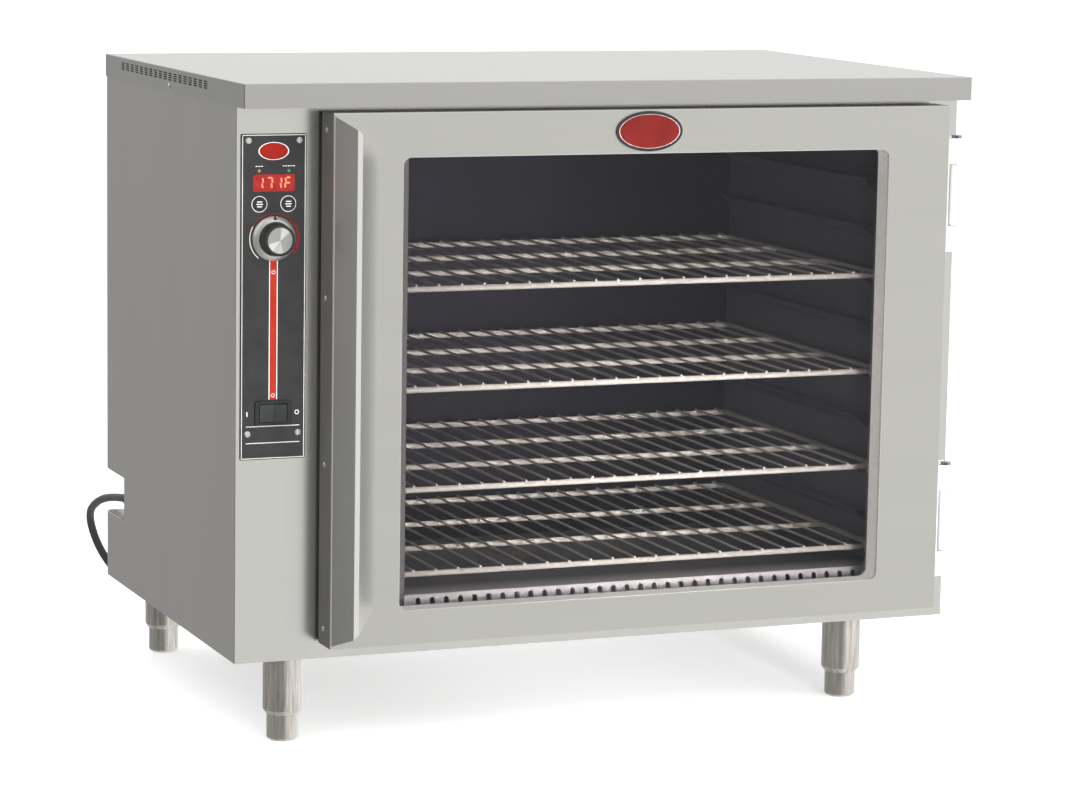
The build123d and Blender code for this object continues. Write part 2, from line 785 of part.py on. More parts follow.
# Control plate with its cut-outs, and the parts that it carries
display_z = plate_top - display_drop
lamp_z = plate_top - lamp_drop
button_z = plate_top - button_drop
knob_z = plate_top - knob_drop
with BuildPart() as control_plate:
    front_window(plate_x, (plate_bottom + plate_top) / 2, plate_width, plate_height,
                 plate_corner_radius, y_plate, y_face)
    front_window(plate_x, display_z, display_width, display_height, plate_corner_radius,
                 y_plate, y_face, mode=Mode.SUBTRACT)
    for side in (-1, 1):
        front_disc(plate_x + side * lamp_spacing / 2, lamp_z, lamp_radius, y_plate, y_face,
                   mode=Mode.SUBTRACT)
        front_disc(plate_x + side * button_spacing / 2, button_z, button_radius + button_clearance,
                   y_plate, y_face, mode=Mode.SUBTRACT)
    front_disc(plate_x, knob_z, spindle_radius + button_clearance, y_plate, y_face,
               mode=Mode.SUBTRACT)
    slab(plate_x - switch_body_width / 2, plate_x + switch_body_width / 2, y_plate, y_face,
         rocker_z - switch_body_height / 2, rocker_z + switch_body_height / 2, mode=Mode.SUBTRACT)
keep(control_plate.part, "control_plate")

with BuildPart() as plate_screws:
    for side in (-1, 1):
        for screw_z in (plate_bottom + plate_screw_bottom, plate_top - plate_screw_top):
            front_disc(plate_x + side * plate_screw_spacing / 2, screw_z, plate_screw_radius,
                       y_plate - plate_screw_head, y_plate)
    fillet(plate_screws.edges().group_by(Axis.Y)[0], radius=plate_screw_head / 2)
keep(plate_screws.part, "plate_screws")

with BuildPart() as display_window:
    front_window(plate_x, display_z, display_width, display_height, plate_corner_radius,
                 y_plate - display_proud, y_board)
keep(display_window.part, "display_window")

with BuildPart() as status_lamps:
    for side in (-1, 1):
        front_disc(plate_x + side * lamp_spacing / 2, lamp_z, lamp_radius, y_plate - lamp_proud,
                   y_board)
    fillet(status_lamps.edges().group_by(Axis.Y)[0], radius=lamp_proud)
keep(status_lamps.part, "status_lamps")


def push_button(x, name):
    """A round cap with a stem that reaches the board's key with the travel to spare."""
    with BuildPart() as button:
        front_disc(x, button_z, button_radius, y_plate - button_proud,
                   y_plate - button_proud + button_cap_length)
        front_disc(x, button_z, button_stem_radius, y_plate - button_proud,
                   y_board - button_travel - rest_clearance)
        fillet(button.edges().group_by(Axis.Y)[0], radius=button_proud / 3)
    keep(button.part, name)


push_button(plate_x - button_spacing / 2, "left_button")
push_button(plate_x + button_spacing / 2, "right_button")

# Knob: a flat skirt, a fluted body and a steel spindle that turns in the encoder
y_skirt_back = y_plate - knob_gap
y_skirt_front = y_skirt_back - skirt_thickness
y_knob_front = y_skirt_front - knob_length
with BuildPart() as knob_skirt:
    front_disc(plate_x, knob_z, skirt_radius, y_skirt_front, y_skirt_back)
    chamfer(knob_skirt.edges().group_by(Axis.Y)[0], length=skirt_thickness / 3)
    front_disc(plate_x, knob_z, spindle_radius, y_skirt_front, y_skirt_back, mode=Mode.SUBTRACT)
keep(knob_skirt.part, "knob_skirt")

with BuildPart() as knob_cap:
    with BuildSketch(front_plane(plate_x, y_skirt_front, knob_z)) as knob_root:
        Circle(knob_base_radius)
    with BuildSketch(front_plane(plate_x, y_knob_front, knob_z)) as knob_top:
        Circle(knob_top_radius)
    loft([knob_root.sketch, knob_top.sketch])
    fillet(knob_cap.edges().group_by(Axis.Y)[0], radius=knob_edge_radius)
    with BuildSketch(front_plane(plate_x, y_skirt_front, knob_z)) as flutes:
        with PolarLocations(knob_base_radius, knob_flutes):
            Circle(knob_flute_radius)
    extrude(flutes.sketch, amount=knob_length - 2 * knob_edge_radius, mode=Mode.SUBTRACT)
    front_disc(plate_x, knob_z, spindle_radius, y_skirt_front - knob_length / 2, y_skirt_front,
               mode=Mode.SUBTRACT)
keep(knob_cap.part, "knob_cap")

with BuildPart() as knob_spindle:
    front_disc(plate_x, knob_z, spindle_radius, y_skirt_front - knob_length / 2,
               y_board - spindle_back_gap)
keep(knob_spindle.part, "knob_spindle")

with BuildPart() as encoder_body:
    slab(plate_x - encoder_size / 2, plate_x + encoder_size / 2, y_face, y_board,
         knob_z - encoder_size / 2, knob_z + encoder_size / 2)
    front_disc(plate_x, knob_z, spindle_radius + running_clearance, y_face, y_board,
               mode=Mode.SUBTRACT)
keep(encoder_body.part, "encoder_body")

with BuildPart() as control_board:
    slab(plate_left + controls_window_margin + board_margin,
         plate_left + plate_width - controls_window_margin - board_margin,
         y_board, y_board + board_thickness, controls_top - board_height, controls_top)
keep(control_board.part, "control_board")

# Rocker switch: a bezel on the plate, a body behind it and a rocker that tips about a vertical pin
y_bezel = y_plate - bezel_thickness
pivot_y = y_plate + rocker_pivot_behind_plate
trunnion_bottom = rocker_z - rocker_height / 2 - trunnion_reach
trunnion_top = rocker_z + rocker_height / 2 + trunnion_reach
with BuildPart() as rocker_housing:
    front_window(plate_x, rocker_z, bezel_width, bezel_height, bezel_corner_radius, y_bezel, y_plate)
    fillet(rocker_housing.edges().group_by(Axis.Y)[0], radius=bezel_thickness / 3)
    slab(plate_x - switch_body_width / 2, plate_x + switch_body_width / 2, y_plate,
         y_plate + switch_body_depth, rocker_z - switch_body_height / 2,
         rocker_z + switch_body_height / 2)
    slab(plate_x - rocker_opening_width / 2, plate_x + rocker_opening_width / 2, y_bezel,
         y_plate + rocker_cavity_depth, rocker_z - rocker_opening_height / 2,
         rocker_z + rocker_opening_height / 2, mode=Mode.SUBTRACT)
    with BuildSketch(Plane.XY.offset(trunnion_bottom - rest_clearance / 2)) as bearing:
        with Locations((plate_x, pivot_y)):
            Circle(trunnion_radius + running_clearance)
    extrude(bearing.sketch, amount=trunnion_top - trunnion_bottom + rest_clearance,
            mode=Mode.SUBTRACT)
keep(rocker_housing.part, "rocker_housing")

rocker_outline = (
    (-rocker_half_width, -rocker_end_rise), (0, -rocker_middle_rise),
    (rocker_half_width, -rocker_end_rise), (rocker_half_width - rocker_taper, rocker_back),
    (-rocker_half_width + rocker_taper, rocker_back), (-rocker_half_width, -rocker_end_rise))
with BuildPart() as rocker:
    with BuildSketch(Plane(
            origin=(plate_x, pivot_y, rocker_z - rocker_height / 2),
            x_dir=(cos(radians(rocker_tilt)), -sin(radians(rocker_tilt)), 0),
            z_dir=(0, 0, 1))) as tipped:
        with BuildLine():
            Polyline(*rocker_outline)
        make_face()
    extrude(tipped.sketch, amount=rocker_height)
    with BuildSketch(Plane.XY.offset(trunnion_bottom)) as trunnion:
        with Locations((plate_x, pivot_y)):
            Circle(trunnion_radius)
    extrude(trunnion.sketch, amount=trunnion_top - trunnion_bottom)
keep(rocker.part, "rocker")

# Electrical parts standing on the bottom panel in the left compartment
part_x = x_left + compartment_part_gap
part_floor = z_base + gauge
terminal_y = y_face + terminal_from_front
with BuildPart() as terminal_block:
    slab(part_x - terminal_width / 2, part_x + terminal_width / 2, terminal_y,
         terminal_y + terminal_depth, part_floor, part_floor + terminal_height)
    with BuildSketch(Plane.XY.offset(part_floor + terminal_height)) as wells:
        with Locations((part_x, terminal_y + terminal_depth / 2)):
            with GridLocations(terminal_width / terminal_ways, 1, terminal_ways, 1):
                Circle(terminal_hole_radius)
    extrude(wells.sketch, amount=-terminal_height / 2, mode=Mode.SUBTRACT)
keep(terminal_block.part, "terminal_block")

relay_y = y_face + relay_from_front
with BuildPart() as power_relay:
    slab(part_x - relay_width / 2 - relay_base_margin, part_x + relay_width / 2 + relay_base_margin,
         relay_y, relay_y + relay_depth, part_floor, part_floor + relay_base_height)
    slab(part_x - relay_width / 2, part_x + relay_width / 2, relay_y + relay_base_margin,
         relay_y + relay_depth - relay_base_margin, part_floor, part_floor + relay_height)
keep(power_relay.part, "power_relay")

# Legs: round tubes with a tapered end, and feet that screw in and out of them
leg_places = {
    "front_left": (x_left + leg_left_inset, y_face + leg_end_inset),
    "front_right": (x_right - leg_right_inset, y_face + leg_end_inset),
    "rear_left": (x_left + leg_left_inset, y_rear - leg_end_inset),
    "rear_right": (x_right - leg_right_inset, y_rear - leg_end_inset),
}
tube_end = foot_height + foot_gap
with BuildPart() as leg_tubes:
    with BuildSketch(Plane.XZ) as leg_profile:
        with BuildLine():
            Polyline(
                (foot_stem_radius + running_clearance, tube_end), (leg_end_radius, tube_end),
                (leg_radius, tube_end + leg_taper), (leg_radius, z_base),
                (foot_stem_radius + running_clearance, z_base),
                (foot_stem_radius + running_clearance, tube_end))
        make_face()
    one_leg = revolve(leg_profile.sketch, axis=Axis.Z, mode=Mode.PRIVATE)
    for place in leg_places.values():
        with Locations(place):
            add(one_leg)
keep(leg_tubes.part, "leg_tubes")


def foot(place, name):
    """A round foot with a stem up inside its leg."""
    with BuildPart() as piece:
        with BuildSketch(Plane.XY) as pad:
            with Locations(place):
                Circle(foot_radius)
        extrude(pad.sketch, amount=foot_height)
        chamfer(piece.edges().group_by(Axis.Z)[0], length=foot_edge)
        with BuildSketch(Plane.XY.offset(foot_height)) as stem:
            with Locations(place):
                Circle(foot_stem_radius)
        extrude(stem.sketch, amount=foot_stem_length)
    keep(piece.part, name)


for corner, place in leg_places.items():
    foot(place, f"foot_{corner}")

# Strain relief: a flanged, tapered sleeve on the recess's front wall
cord_radius = cord_diameter / 2
route_start = (x_left + cord_exit_inset, recess_front + recess_sheet + relief_length,
               recess_bottom + cord_exit_rise)
with BuildPart() as strain_relief:
    with BuildSketch(Plane(origin=(route_start[0], recess_front + recess_sheet, route_start[2]),
                           z_dir=(0, 1, 0))) as flange:
        Circle(relief_flange_radius)
    extrude(flange.sketch, amount=relief_flange)
    flange_face = Plane(origin=(route_start[0], recess_front + recess_sheet + relief_flange,
                                route_start[2]), z_dir=(0, 1, 0))
    tip_face = Plane(origin=route_start, z_dir=(0, 1, 0))
    with BuildSketch(flange_face) as taper_root:
        Circle(relief_root_radius)
    with BuildSketch(tip_face) as taper_tip:
        Circle(relief_tip_radius)
    loft([taper_root.sketch, taper_tip.sketch])
keep(strain_relief.part, "strain_relief")

# Mains lead: a free stretch out of the recess and down to the floor, then a coil of two layers
cord_z = cord_radius + cord_floor_gap
coil_outer_radius = coil_mean_radius + coil_turns * turn_pitch / 2
coil_inner_radius = coil_outer_radius - coil_turns * turn_pitch
coil_start_y = 404.6
coil_centre_y = coil_start_y - coil_outer_radius
coil_start_x = coil_centre_x - cord_diameter
route = (
    route_start,
    (-388.0, 293.0, 179.0),
    (-390.0, 352.0, 173.0),
    (-392.0, 399.0, 138.0),
    (-387.0, 399.0, 88.0),
    (-361.0, 387.0, 42.0),
    (-312.0, 381.0, 12.0),
    (-256.0, 394.0, cord_z),
    (-204.0, 402.0, cord_z),
    (-157.0, coil_start_y, cord_z),
    (coil_start_x, coil_start_y, cord_z),
)


def route_radii(points):
    """The fillet radius at each corner: 0.45 of the shorter run over the tangent of half the turn."""
    radii = []
    for before, corner, after in zip(points, points[1:], points[2:]):
        run_in = Vector(*corner) - Vector(*before)
        run_out = Vector(*after) - Vector(*corner)
        half_turn = radians(run_in.get_angle(run_out)) / 2
        radii.append(0.45 * min(run_in.length, run_out.length) / tan(half_turn))
    return radii


cord_radii = route_radii(route)
print("cord radii", [round(radius, 1) for radius in cord_radii])
with BuildPart() as power_cord:
    with BuildLine() as cord_line:
        FilletPolyline(*route, radius=cord_radii)
    with BuildSketch(Plane(origin=cord_line.line @ 0, z_dir=cord_line.line % 0)) as cord_section:
        Circle(cord_radius)
    sweep(cord_section.sketch, path=cord_line.line)
cord_length = cord_line.wire().length
print("cord volume over section times length",
      round(power_cord.part.volume / (pi * cord_radius ** 2 * cord_length), 4))
keep(power_cord.part, "power_cord")

# The coil spirals in, climbs one layer in a half turn, and spirals out again on top
spiral_angle = coil_turns * 2 * pi
climb_angle = climb_half_turns * pi
coil_angle = 2 * spiral_angle + climb_angle


def coil_place(angle):
    """The coil's centre line after turning clockwise through an angle from its start."""
    if angle < spiral_angle:
        radius = coil_outer_radius - turn_pitch * angle / (2 * pi)
        height = 0.0
    elif angle < spiral_angle + climb_angle:
        share = (angle - spiral_angle) / climb_angle
        radius = coil_inner_radius - turn_pitch * share * (1 - share) * climb_angle / (2 * pi)
        height = turn_pitch * share * share * (3 - 2 * share)
    else:
        radius = coil_inner_radius + turn_pitch * (angle - spiral_angle - climb_angle) / (2 * pi)
        height = turn_pitch
    return Vector(coil_centre_x + radius * sin(angle), coil_centre_y + radius * cos(angle),
                  cord_z + height)


def coil_heading(angle, step=1e-4):
    """The unit direction along the coil."""
    if angle < step:
        return Vector(1, 0, 0)
    if angle > coil_angle - step:
        return Vector(-1, 0, 0)
    return (coil_place(angle + step) - coil_place(angle - step)).normalized()


def biarc(start, start_heading, end, end_heading):
    """Two tangent arcs between two places with given headings."""
    chord = end - start
    both = start_heading + end_heading
    a = 2 * (1 - start_heading.dot(end_heading))
    b = 2 * chord.dot(both)
    c = -chord.dot(chord)
    reach = (-b + sqrt(b * b - 4 * a * c)) / (2 * a)
    middle = (start + start_heading * reach + end - end_heading * reach) * 0.5
    heading = (end - end_heading * reach - start - start_heading * reach).normalized()
    TangentArc(start, middle, tangent=start_heading)
    TangentArc(middle, end, tangent=heading)


quarter_count = round(coil_angle / (pi / 2))
quarter_angles = [quarter * pi / 2 for quarter in range(quarter_count + 1)]
coil_end = coil_place(coil_angle)
with BuildPart() as cord_coil:
    with BuildLine() as coil_line:
        Line((coil_start_x, coil_start_y, cord_z), coil_place(0))
        for low, high in zip(quarter_angles, quarter_angles[1:]):
            biarc(coil_place(low), coil_heading(low), coil_place(high), coil_heading(high))
        Line(coil_end, coil_end - Vector(plug_tail_length, 0, 0))
    with BuildSketch(Plane(origin=coil_line.line @ 0, z_dir=coil_line.line % 0)) as coil_section:
        Circle(cord_radius)
    sweep(coil_section.sketch, path=coil_line.line)
keep(cord_coil.part, "cord_coil")

coil_steps = 600
coil_path = coil_line.wire()
coil_length = coil_path.length
step_length = coil_length / coil_steps
coil_points = [coil_path.position_at(step / coil_steps) for step in range(coil_steps + 1)]
least_gap = min(
    (coil_points[first] - coil_points[second]).length - cord_diameter
    for first in range(coil_steps)
    for second in range(first + 1, coil_steps)
    if (second - first) * step_length > 4 * cord_diameter)
print("least gap between the coil's turns", round(least_gap, 2))
print("cord and coil length", round(cord_length + coil_length))

# Tie: a flat band round the coil's bundle
tie_angle = 2 * pi * tie_share_of_turn
bundle_radius = coil_outer_radius - turn_pitch * (tie_share_of_turn + (coil_turns - 1) / 2)
tie_plane = Plane(
    origin=(coil_centre_x + bundle_radius * sin(tie_angle),
            coil_centre_y + bundle_radius * cos(tie_angle), cord_z + turn_pitch / 2),
    x_dir=(sin(tie_angle), cos(tie_angle), 0),
    z_dir=(cos(tie_angle), -sin(tie_angle), 0))
bundle_width = (coil_turns - 1) * turn_pitch + cord_diameter + 2 * tie_gap
bundle_height = turn_pitch + cord_diameter + 2 * tie_gap
with BuildPart() as cord_tie:
    with BuildSketch(tie_plane) as band:
        RectangleRounded(bundle_width + 2 * tie_thickness, bundle_height + 2 * tie_thickness,
                         cord_radius)
        RectangleRounded(bundle_width, bundle_height, cord_radius - tie_thickness,
                         mode=Mode.SUBTRACT)
    extrude(band.sketch, amount=tie_width / 2, both=True)
keep(cord_tie.part, "cord_tie")

# Plug: a moulded body with a neck, two flat blades and a round earth pin
plug_start = coil_end - Vector(plug_tail_length, 0, 0)
plug_face = Plane(origin=plug_start, x_dir=(0, 1, 0), z_dir=(-1, 0, 0))
with BuildPart() as plug:
    with BuildSketch(plug_face) as neck:
        Circle(cord_radius)
    with BuildSketch(plug_face.offset(plug_neck_length)) as neck_end:
        Circle(plug_neck_radius)
    loft([neck.sketch, neck_end.sketch])
    with BuildSketch(plug_face.offset(plug_neck_length)) as body:
        Circle(plug_radius)
    extrude(body.sketch, amount=plug_length - plug_neck_length)
    round_edges = plug.edges().filter_by(GeomType.CIRCLE).sort_by(SortBy.RADIUS)[-2:]
    fillet(round_edges, radius=plug_edge_radius)
    with BuildSketch(plug_face.offset(plug_length)) as blades:
        with Locations((blade_spacing / 2, 0), (-blade_spacing / 2, 0)):
            Rectangle(blade_thickness, blade_width)
        with Locations((0, -ground_pin_drop)):
            Circle(ground_pin_radius)
    extrude(blades.sketch, amount=blade_length)
keep(plug.part, "plug")
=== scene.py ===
"""Finish of the heated holding cabinet: its materials, printed plate, screws, mains lead and light.

Metres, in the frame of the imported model: the floor is z = 0 and the glass door faces -Y.
"""

import math

import bmesh
import bpy
from mathutils import Matrix, Vector


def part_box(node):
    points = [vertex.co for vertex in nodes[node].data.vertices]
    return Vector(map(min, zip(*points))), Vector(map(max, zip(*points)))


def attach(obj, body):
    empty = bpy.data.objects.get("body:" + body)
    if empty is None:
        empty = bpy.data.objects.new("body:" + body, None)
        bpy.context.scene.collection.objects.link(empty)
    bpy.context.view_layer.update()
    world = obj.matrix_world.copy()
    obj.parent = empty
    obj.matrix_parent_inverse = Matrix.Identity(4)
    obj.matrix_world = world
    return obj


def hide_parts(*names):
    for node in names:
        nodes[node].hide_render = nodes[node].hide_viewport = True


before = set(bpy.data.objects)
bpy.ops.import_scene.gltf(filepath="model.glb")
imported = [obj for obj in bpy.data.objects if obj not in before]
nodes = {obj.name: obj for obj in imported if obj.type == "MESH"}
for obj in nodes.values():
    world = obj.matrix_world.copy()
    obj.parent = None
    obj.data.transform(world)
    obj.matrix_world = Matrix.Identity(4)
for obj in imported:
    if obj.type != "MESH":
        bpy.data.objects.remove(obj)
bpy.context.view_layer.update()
mm = 0.001
front = (math.radians(90), 0, 0)
leftward = (math.radians(90), 0, math.radians(-90))
rightward = (math.radians(90), 0, math.radians(90))
rearward = (math.radians(-90), 0, 0)
bpy.context.scene.view_settings.view_transform = "Standard"


# Camera
def place_camera():
    """The place and angle from which the photograph was taken."""
    yaw, pitch, roll = -0.38554157, 0.15042906, 0.01650239
    data = bpy.data.cameras.new("camera")
    data.lens = 121.79
    data.sensor_fit = "HORIZONTAL"
    camera = bpy.data.objects.new("camera", data)
    bpy.context.scene.collection.objects.link(camera)
    turn = (Matrix.Rotation(yaw, 4, "Z") @ Matrix.Rotation(math.pi / 2 - pitch, 4, "X")
            @ Matrix.Rotation(roll, 4, "Z"))
    camera.matrix_world = Matrix.Translation((-1.4642, -3.62645, 0.9006)) @ turn
    bpy.context.scene.camera = camera


place_camera()

# Mains lead: near the solid's route but closer to the body, then the same coil of two layers
lead_diameter = 9.0 * mm
layer_pitch = 9.8
floor_height = 6.1
coil_centre = (-100.0, 346.8)
outer_radius = 57.8
inner_radius = 38.2
layer_turns = 2
points_per_turn = 16
plug_tail = 18.0
route = [
    (-388.0, 239.0, 178.0),
    (-388.0, 293.0, 171.0),
    (-391.0, 346.0, 158.0),
    (-390.0, 396.0, 134.0),
    (-377.0, 398.0, 92.0),
    (-354.0, 389.0, 58.0),
    (-314.0, 383.0, 27.0),
    (-262.0, 392.0, 6.5),
    (-204.0, 402.0, floor_height),
    (-157.0, 404.6, floor_height),
]


def coil_points():
    """Control points of the coil: it winds in, climbs a layer in half a turn and winds out."""
    step = 2 * math.pi / points_per_turn
    wound_in = layer_turns * 2 * math.pi
    climbed = wound_in + math.pi
    whole = climbed + wound_in
    points = []
    for count in range(-1, round(whole / step) + 1):
        angle = (count + 0.5) * step
        held = min(max(angle, 0), whole)
        if held < wound_in:
            radius = outer_radius - layer_pitch * held / (2 * math.pi)
            height = 0
        elif held < climbed:
            share = (held - wound_in) / math.pi
            radius = inner_radius - layer_pitch * share * (1 - share) / 2
            height = layer_pitch * share * share * (3 - 2 * share)
        else:
            radius = inner_radius + layer_pitch * (held - climbed) / (2 * math.pi)
            height = layer_pitch
        reach = radius / math.cos(step / 2)
        points.append((coil_centre[0] + reach * math.sin(angle),
                       coil_centre[1] + reach * math.cos(angle), floor_height + height))
    return points


def power_lead():
    """One smooth spline from the strain relief to the plug."""
    end = (coil_centre[0] - plug_tail, coil_centre[1] - outer_radius, floor_height + layer_pitch)
    points = route + coil_points() + [end]
    data = bpy.data.curves.new("power_lead", "CURVE")
    data.dimensions = "3D"
    spline = data.splines.new("NURBS")
    spline.points.add(len(points) - 1)
    for point, place in zip(spline.points, points):
        point.co = (*(Vector(place) * mm), 1)
        point.radius = lead_diameter / 2
    spline.order_u = 3
    spline.use_endpoint_u = True
    spline.use_smooth = True
    data.resolution_u = 6
    data.bevel_depth = 1.0
    data.bevel_resolution = 5
    data.use_fill_caps = True
    lead = bpy.data.objects.new("power_lead", data)
    bpy.context.scene.collection.objects.link(lead)
    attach(lead, "casing")
    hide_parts("power_cord", "cord_coil")
    return lead


lead = power_lead()


# Modelling helpers
def clear_choice():
    """Leaves nothing selected."""
    if bpy.context.mode != "OBJECT":
        bpy.ops.object.mode_set(mode="OBJECT")
    bpy.ops.object.select_all(action="DESELECT")


def settle(piece, place=(0, 0, 0), turn=(0, 0, 0)):
    """Sets a finished mesh down at its place, in millimetres; its object stays at the origin."""
    clear_choice()
    piece.select_set(True)
    bpy.context.view_layer.objects.active = piece
    piece.rotation_euler = turn
    piece.location = Vector(place) * mm
    bpy.ops.object.transform_apply(location=True, rotation=True, scale=True)


def finish_edges(piece, width=0.0, segments=2, angle=40):
    """Rounds the sharp edges by a width in millimetres and shades the rest smooth."""
    clear_choice()
    piece.select_set(True)
    bpy.context.view_layer.objects.active = piece
    if width:
        bevel = piece.modifiers.new("edge", "BEVEL")
        bevel.width = width * mm
        bevel.segments = segments
        bevel.limit_method = "ANGLE"
        bevel.angle_limit = math.radians(angle)
        bpy.ops.object.modifier_apply(modifier=bevel.name)
    bpy.ops.object.shade_smooth_by_angle(angle=math.radians(angle))


def turned(name, profile, place, turn, sides=48, edge=0.0):
    """A turned piece: rings drawn out one from another by (height, radius), in millimetres."""
    clear_choice()
    height, radius = profile[0]
    bpy.ops.mesh.primitive_circle_add(vertices=sides, radius=radius * mm, fill_type="NGON",
                                      enter_editmode=True)
    bpy.ops.transform.translate(value=(0, 0, height * mm))
    for next_height, next_radius in profile[1:]:
        rise = (next_height - height) * mm
        bpy.ops.mesh.extrude_region_move(TRANSFORM_OT_translate={"value": (0, 0, rise)})
        ratio = next_radius / radius
        bpy.ops.transform.resize(value=(ratio, ratio, 1),
                                 center_override=(0, 0, next_height * mm))
        height, radius = next_height, next_radius
    bpy.ops.mesh.select_all(action="SELECT")
    bpy.ops.mesh.normals_make_consistent(inside=False)
    bpy.ops.object.mode_set(mode="OBJECT")
    piece = bpy.context.object
    piece.name = name
    settle(piece, place, turn)
    finish_edges(piece, edge)
    return piece


def flat_bar(name, width, height, thickness, place, turn, edge=0.0, shift=(0, 0), slant=0.0):
    """A flat bar with its back at place: a plane drawn out by its thickness."""
    clear_choice()
    bpy.ops.mesh.primitive_plane_add(size=1, enter_editmode=True)
    bpy.ops.transform.resize(value=(width * mm, height * mm, 1), center_override=(0, 0, 0))
    bpy.ops.mesh.extrude_region_move(TRANSFORM_OT_translate={"value": (0, 0, thickness * mm)})
    bpy.ops.mesh.select_all(action="SELECT")
    bpy.ops.mesh.normals_make_consistent(inside=False)
    if slant:
        bpy.ops.transform.rotate(value=slant, orient_axis="Z", center_override=(0, 0, 0))
    bpy.ops.transform.translate(value=(shift[0] * mm, shift[1] * mm, 0))
    bpy.ops.object.mode_set(mode="OBJECT")
    piece = bpy.context.object
    piece.name = name
    settle(piece, place, turn)
    finish_edges(piece, edge)
    return piece


def flat_ring(name, inner, outer, thickness, place, turn, start=0, end=360, stretch=1.0, sides=120):
    """A flat ring with its back at place, or an arc of one by angles clockwise from the top."""
    clear_choice()
    bpy.ops.mesh.primitive_circle_add(vertices=sides, radius=inner * mm, fill_type="NOTHING",
                                      enter_editmode=True)
    bpy.ops.mesh.extrude_region_move(TRANSFORM_OT_translate={"value": (0, 0, 0)})
    bpy.ops.transform.resize(value=(outer / inner, outer / inner, 1), center_override=(0, 0, 0))
    mesh = bmesh.from_edit_mesh(bpy.context.object.data)
    for face in mesh.faces:
        middle = face.calc_center_median()
        angle = math.degrees(math.atan2(middle.x, middle.y)) % 360
        face.select_set(not start <= angle <= end)
    bmesh.update_edit_mesh(bpy.context.object.data)
    if end - start < 360:
        bpy.ops.mesh.delete(type="FACE")
    bpy.ops.mesh.select_all(action="SELECT")
    bpy.ops.transform.resize(value=(1, stretch, 1), center_override=(0, 0, 0))
    bpy.ops.mesh.extrude_region_move(TRANSFORM_OT_translate={"value": (0, 0, thickness * mm)})
    bpy.ops.mesh.select_all(action="SELECT")
    bpy.ops.mesh.normals_make_consistent(inside=False)
    bpy.ops.object.mode_set(mode="OBJECT")
    piece = bpy.context.object
    piece.name = name
    settle(piece, place, turn)
    finish_edges(piece)
    return piece


def joined(name, pieces):
    """Several shapes made one piece."""
    clear_choice()
    for piece in pieces:
        piece.select_set(True)
    bpy.context.view_layer.objects.active = pieces[0]
    if len(pieces) > 1:
        bpy.ops.object.join()
    piece = bpy.context.object
    piece.name = name
    return piece


def copy_to(piece, name, shift):
    """A copy with its own mesh, moved by a shift in millimetres."""
    twin = piece.copy()
    twin.data = piece.data.copy()
    twin.name = name
    bpy.context.scene.collection.objects.link(twin)
    twin.data.transform(Matrix.Translation(Vector(shift) * mm))
    return twin


def middle_of(node):
    """The middle of a node's box, in millimetres."""
    low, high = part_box(node)
    return (low + high) / 2 / mm


# Material helpers
def tint(code):
    """A colour's linear value from its sRGB hex code."""
    shades = [int(code[place:place + 2], 16) / 255 for place in (1, 3, 5)]
    linear = [shade / 12.92 if shade <= 0.04045 else ((shade + 0.055) / 1.055) ** 2.4
              for shade in shades]
    return (*linear, 1)


def add(tree, kind, settings=None, **inputs):
    """Adds a node: its settings by name, then each input's value or the socket that feeds it."""
    node = tree.nodes.new(kind)
    for name, value in (settings or {}).items():
        setattr(node, name, value)
    for name, value in inputs.items():
        socket = node.inputs[int(name[1:])] if name[0] == "i" and name[1:].isdigit() \
            else node.inputs[name.replace("_", " ")]
        if isinstance(value, bpy.types.NodeSocket):
            tree.links.new(value, socket)
        else:
            socket.default_value = value
    return node


def new_finish(name):
    """An empty material and its node tree."""
    finish = bpy.data.materials.new(name)
    finish.use_nodes = True
    finish.node_tree.nodes.clear()
    return finish, finish.node_tree


def place_of(tree, scale=(1, 1, 1), location=(0, 0, 0), rotation=(0, 0, 0)):
    """The object's own coordinates, stretched and turned for a pattern."""
    coordinates = add(tree, "ShaderNodeTexCoord")
    return add(tree, "ShaderNodeMapping", Vector=coordinates.outputs["Object"], Scale=scale,
               Location=location, Rotation=rotation).outputs["Vector"]


def two_tone(tree, factor, low, high, dark, light):
    """A colour between two, as a pattern runs from low to high."""
    ramp = add(tree, "ShaderNodeValToRGB", Fac=factor)
    ramp.color_ramp.elements[0].position = low
    ramp.color_ramp.elements[0].color = tint(dark)
    ramp.color_ramp.elements[1].position = high
    ramp.color_ramp.elements[1].color = tint(light)
    return ramp.outputs["Color"]


def level(tree, factor, low, high):
    """A grey value that runs between two levels with a pattern."""
    return add(tree, "ShaderNodeMapRange", Value=factor, To_Min=low, To_Max=high).outputs["Result"]


def close_off(tree, shader):
    """Links a shader to the material's output."""
    add(tree, "ShaderNodeOutputMaterial", Surface=shader)


def grain_scale(along, length, width):
    """Noise scales for grain drawn out along one axis, from its length and width in millimetres."""
    fine = 1 / (width * mm)
    long = 1 / (length * mm)
    return tuple(long if axis == along else fine for axis in "xyz")


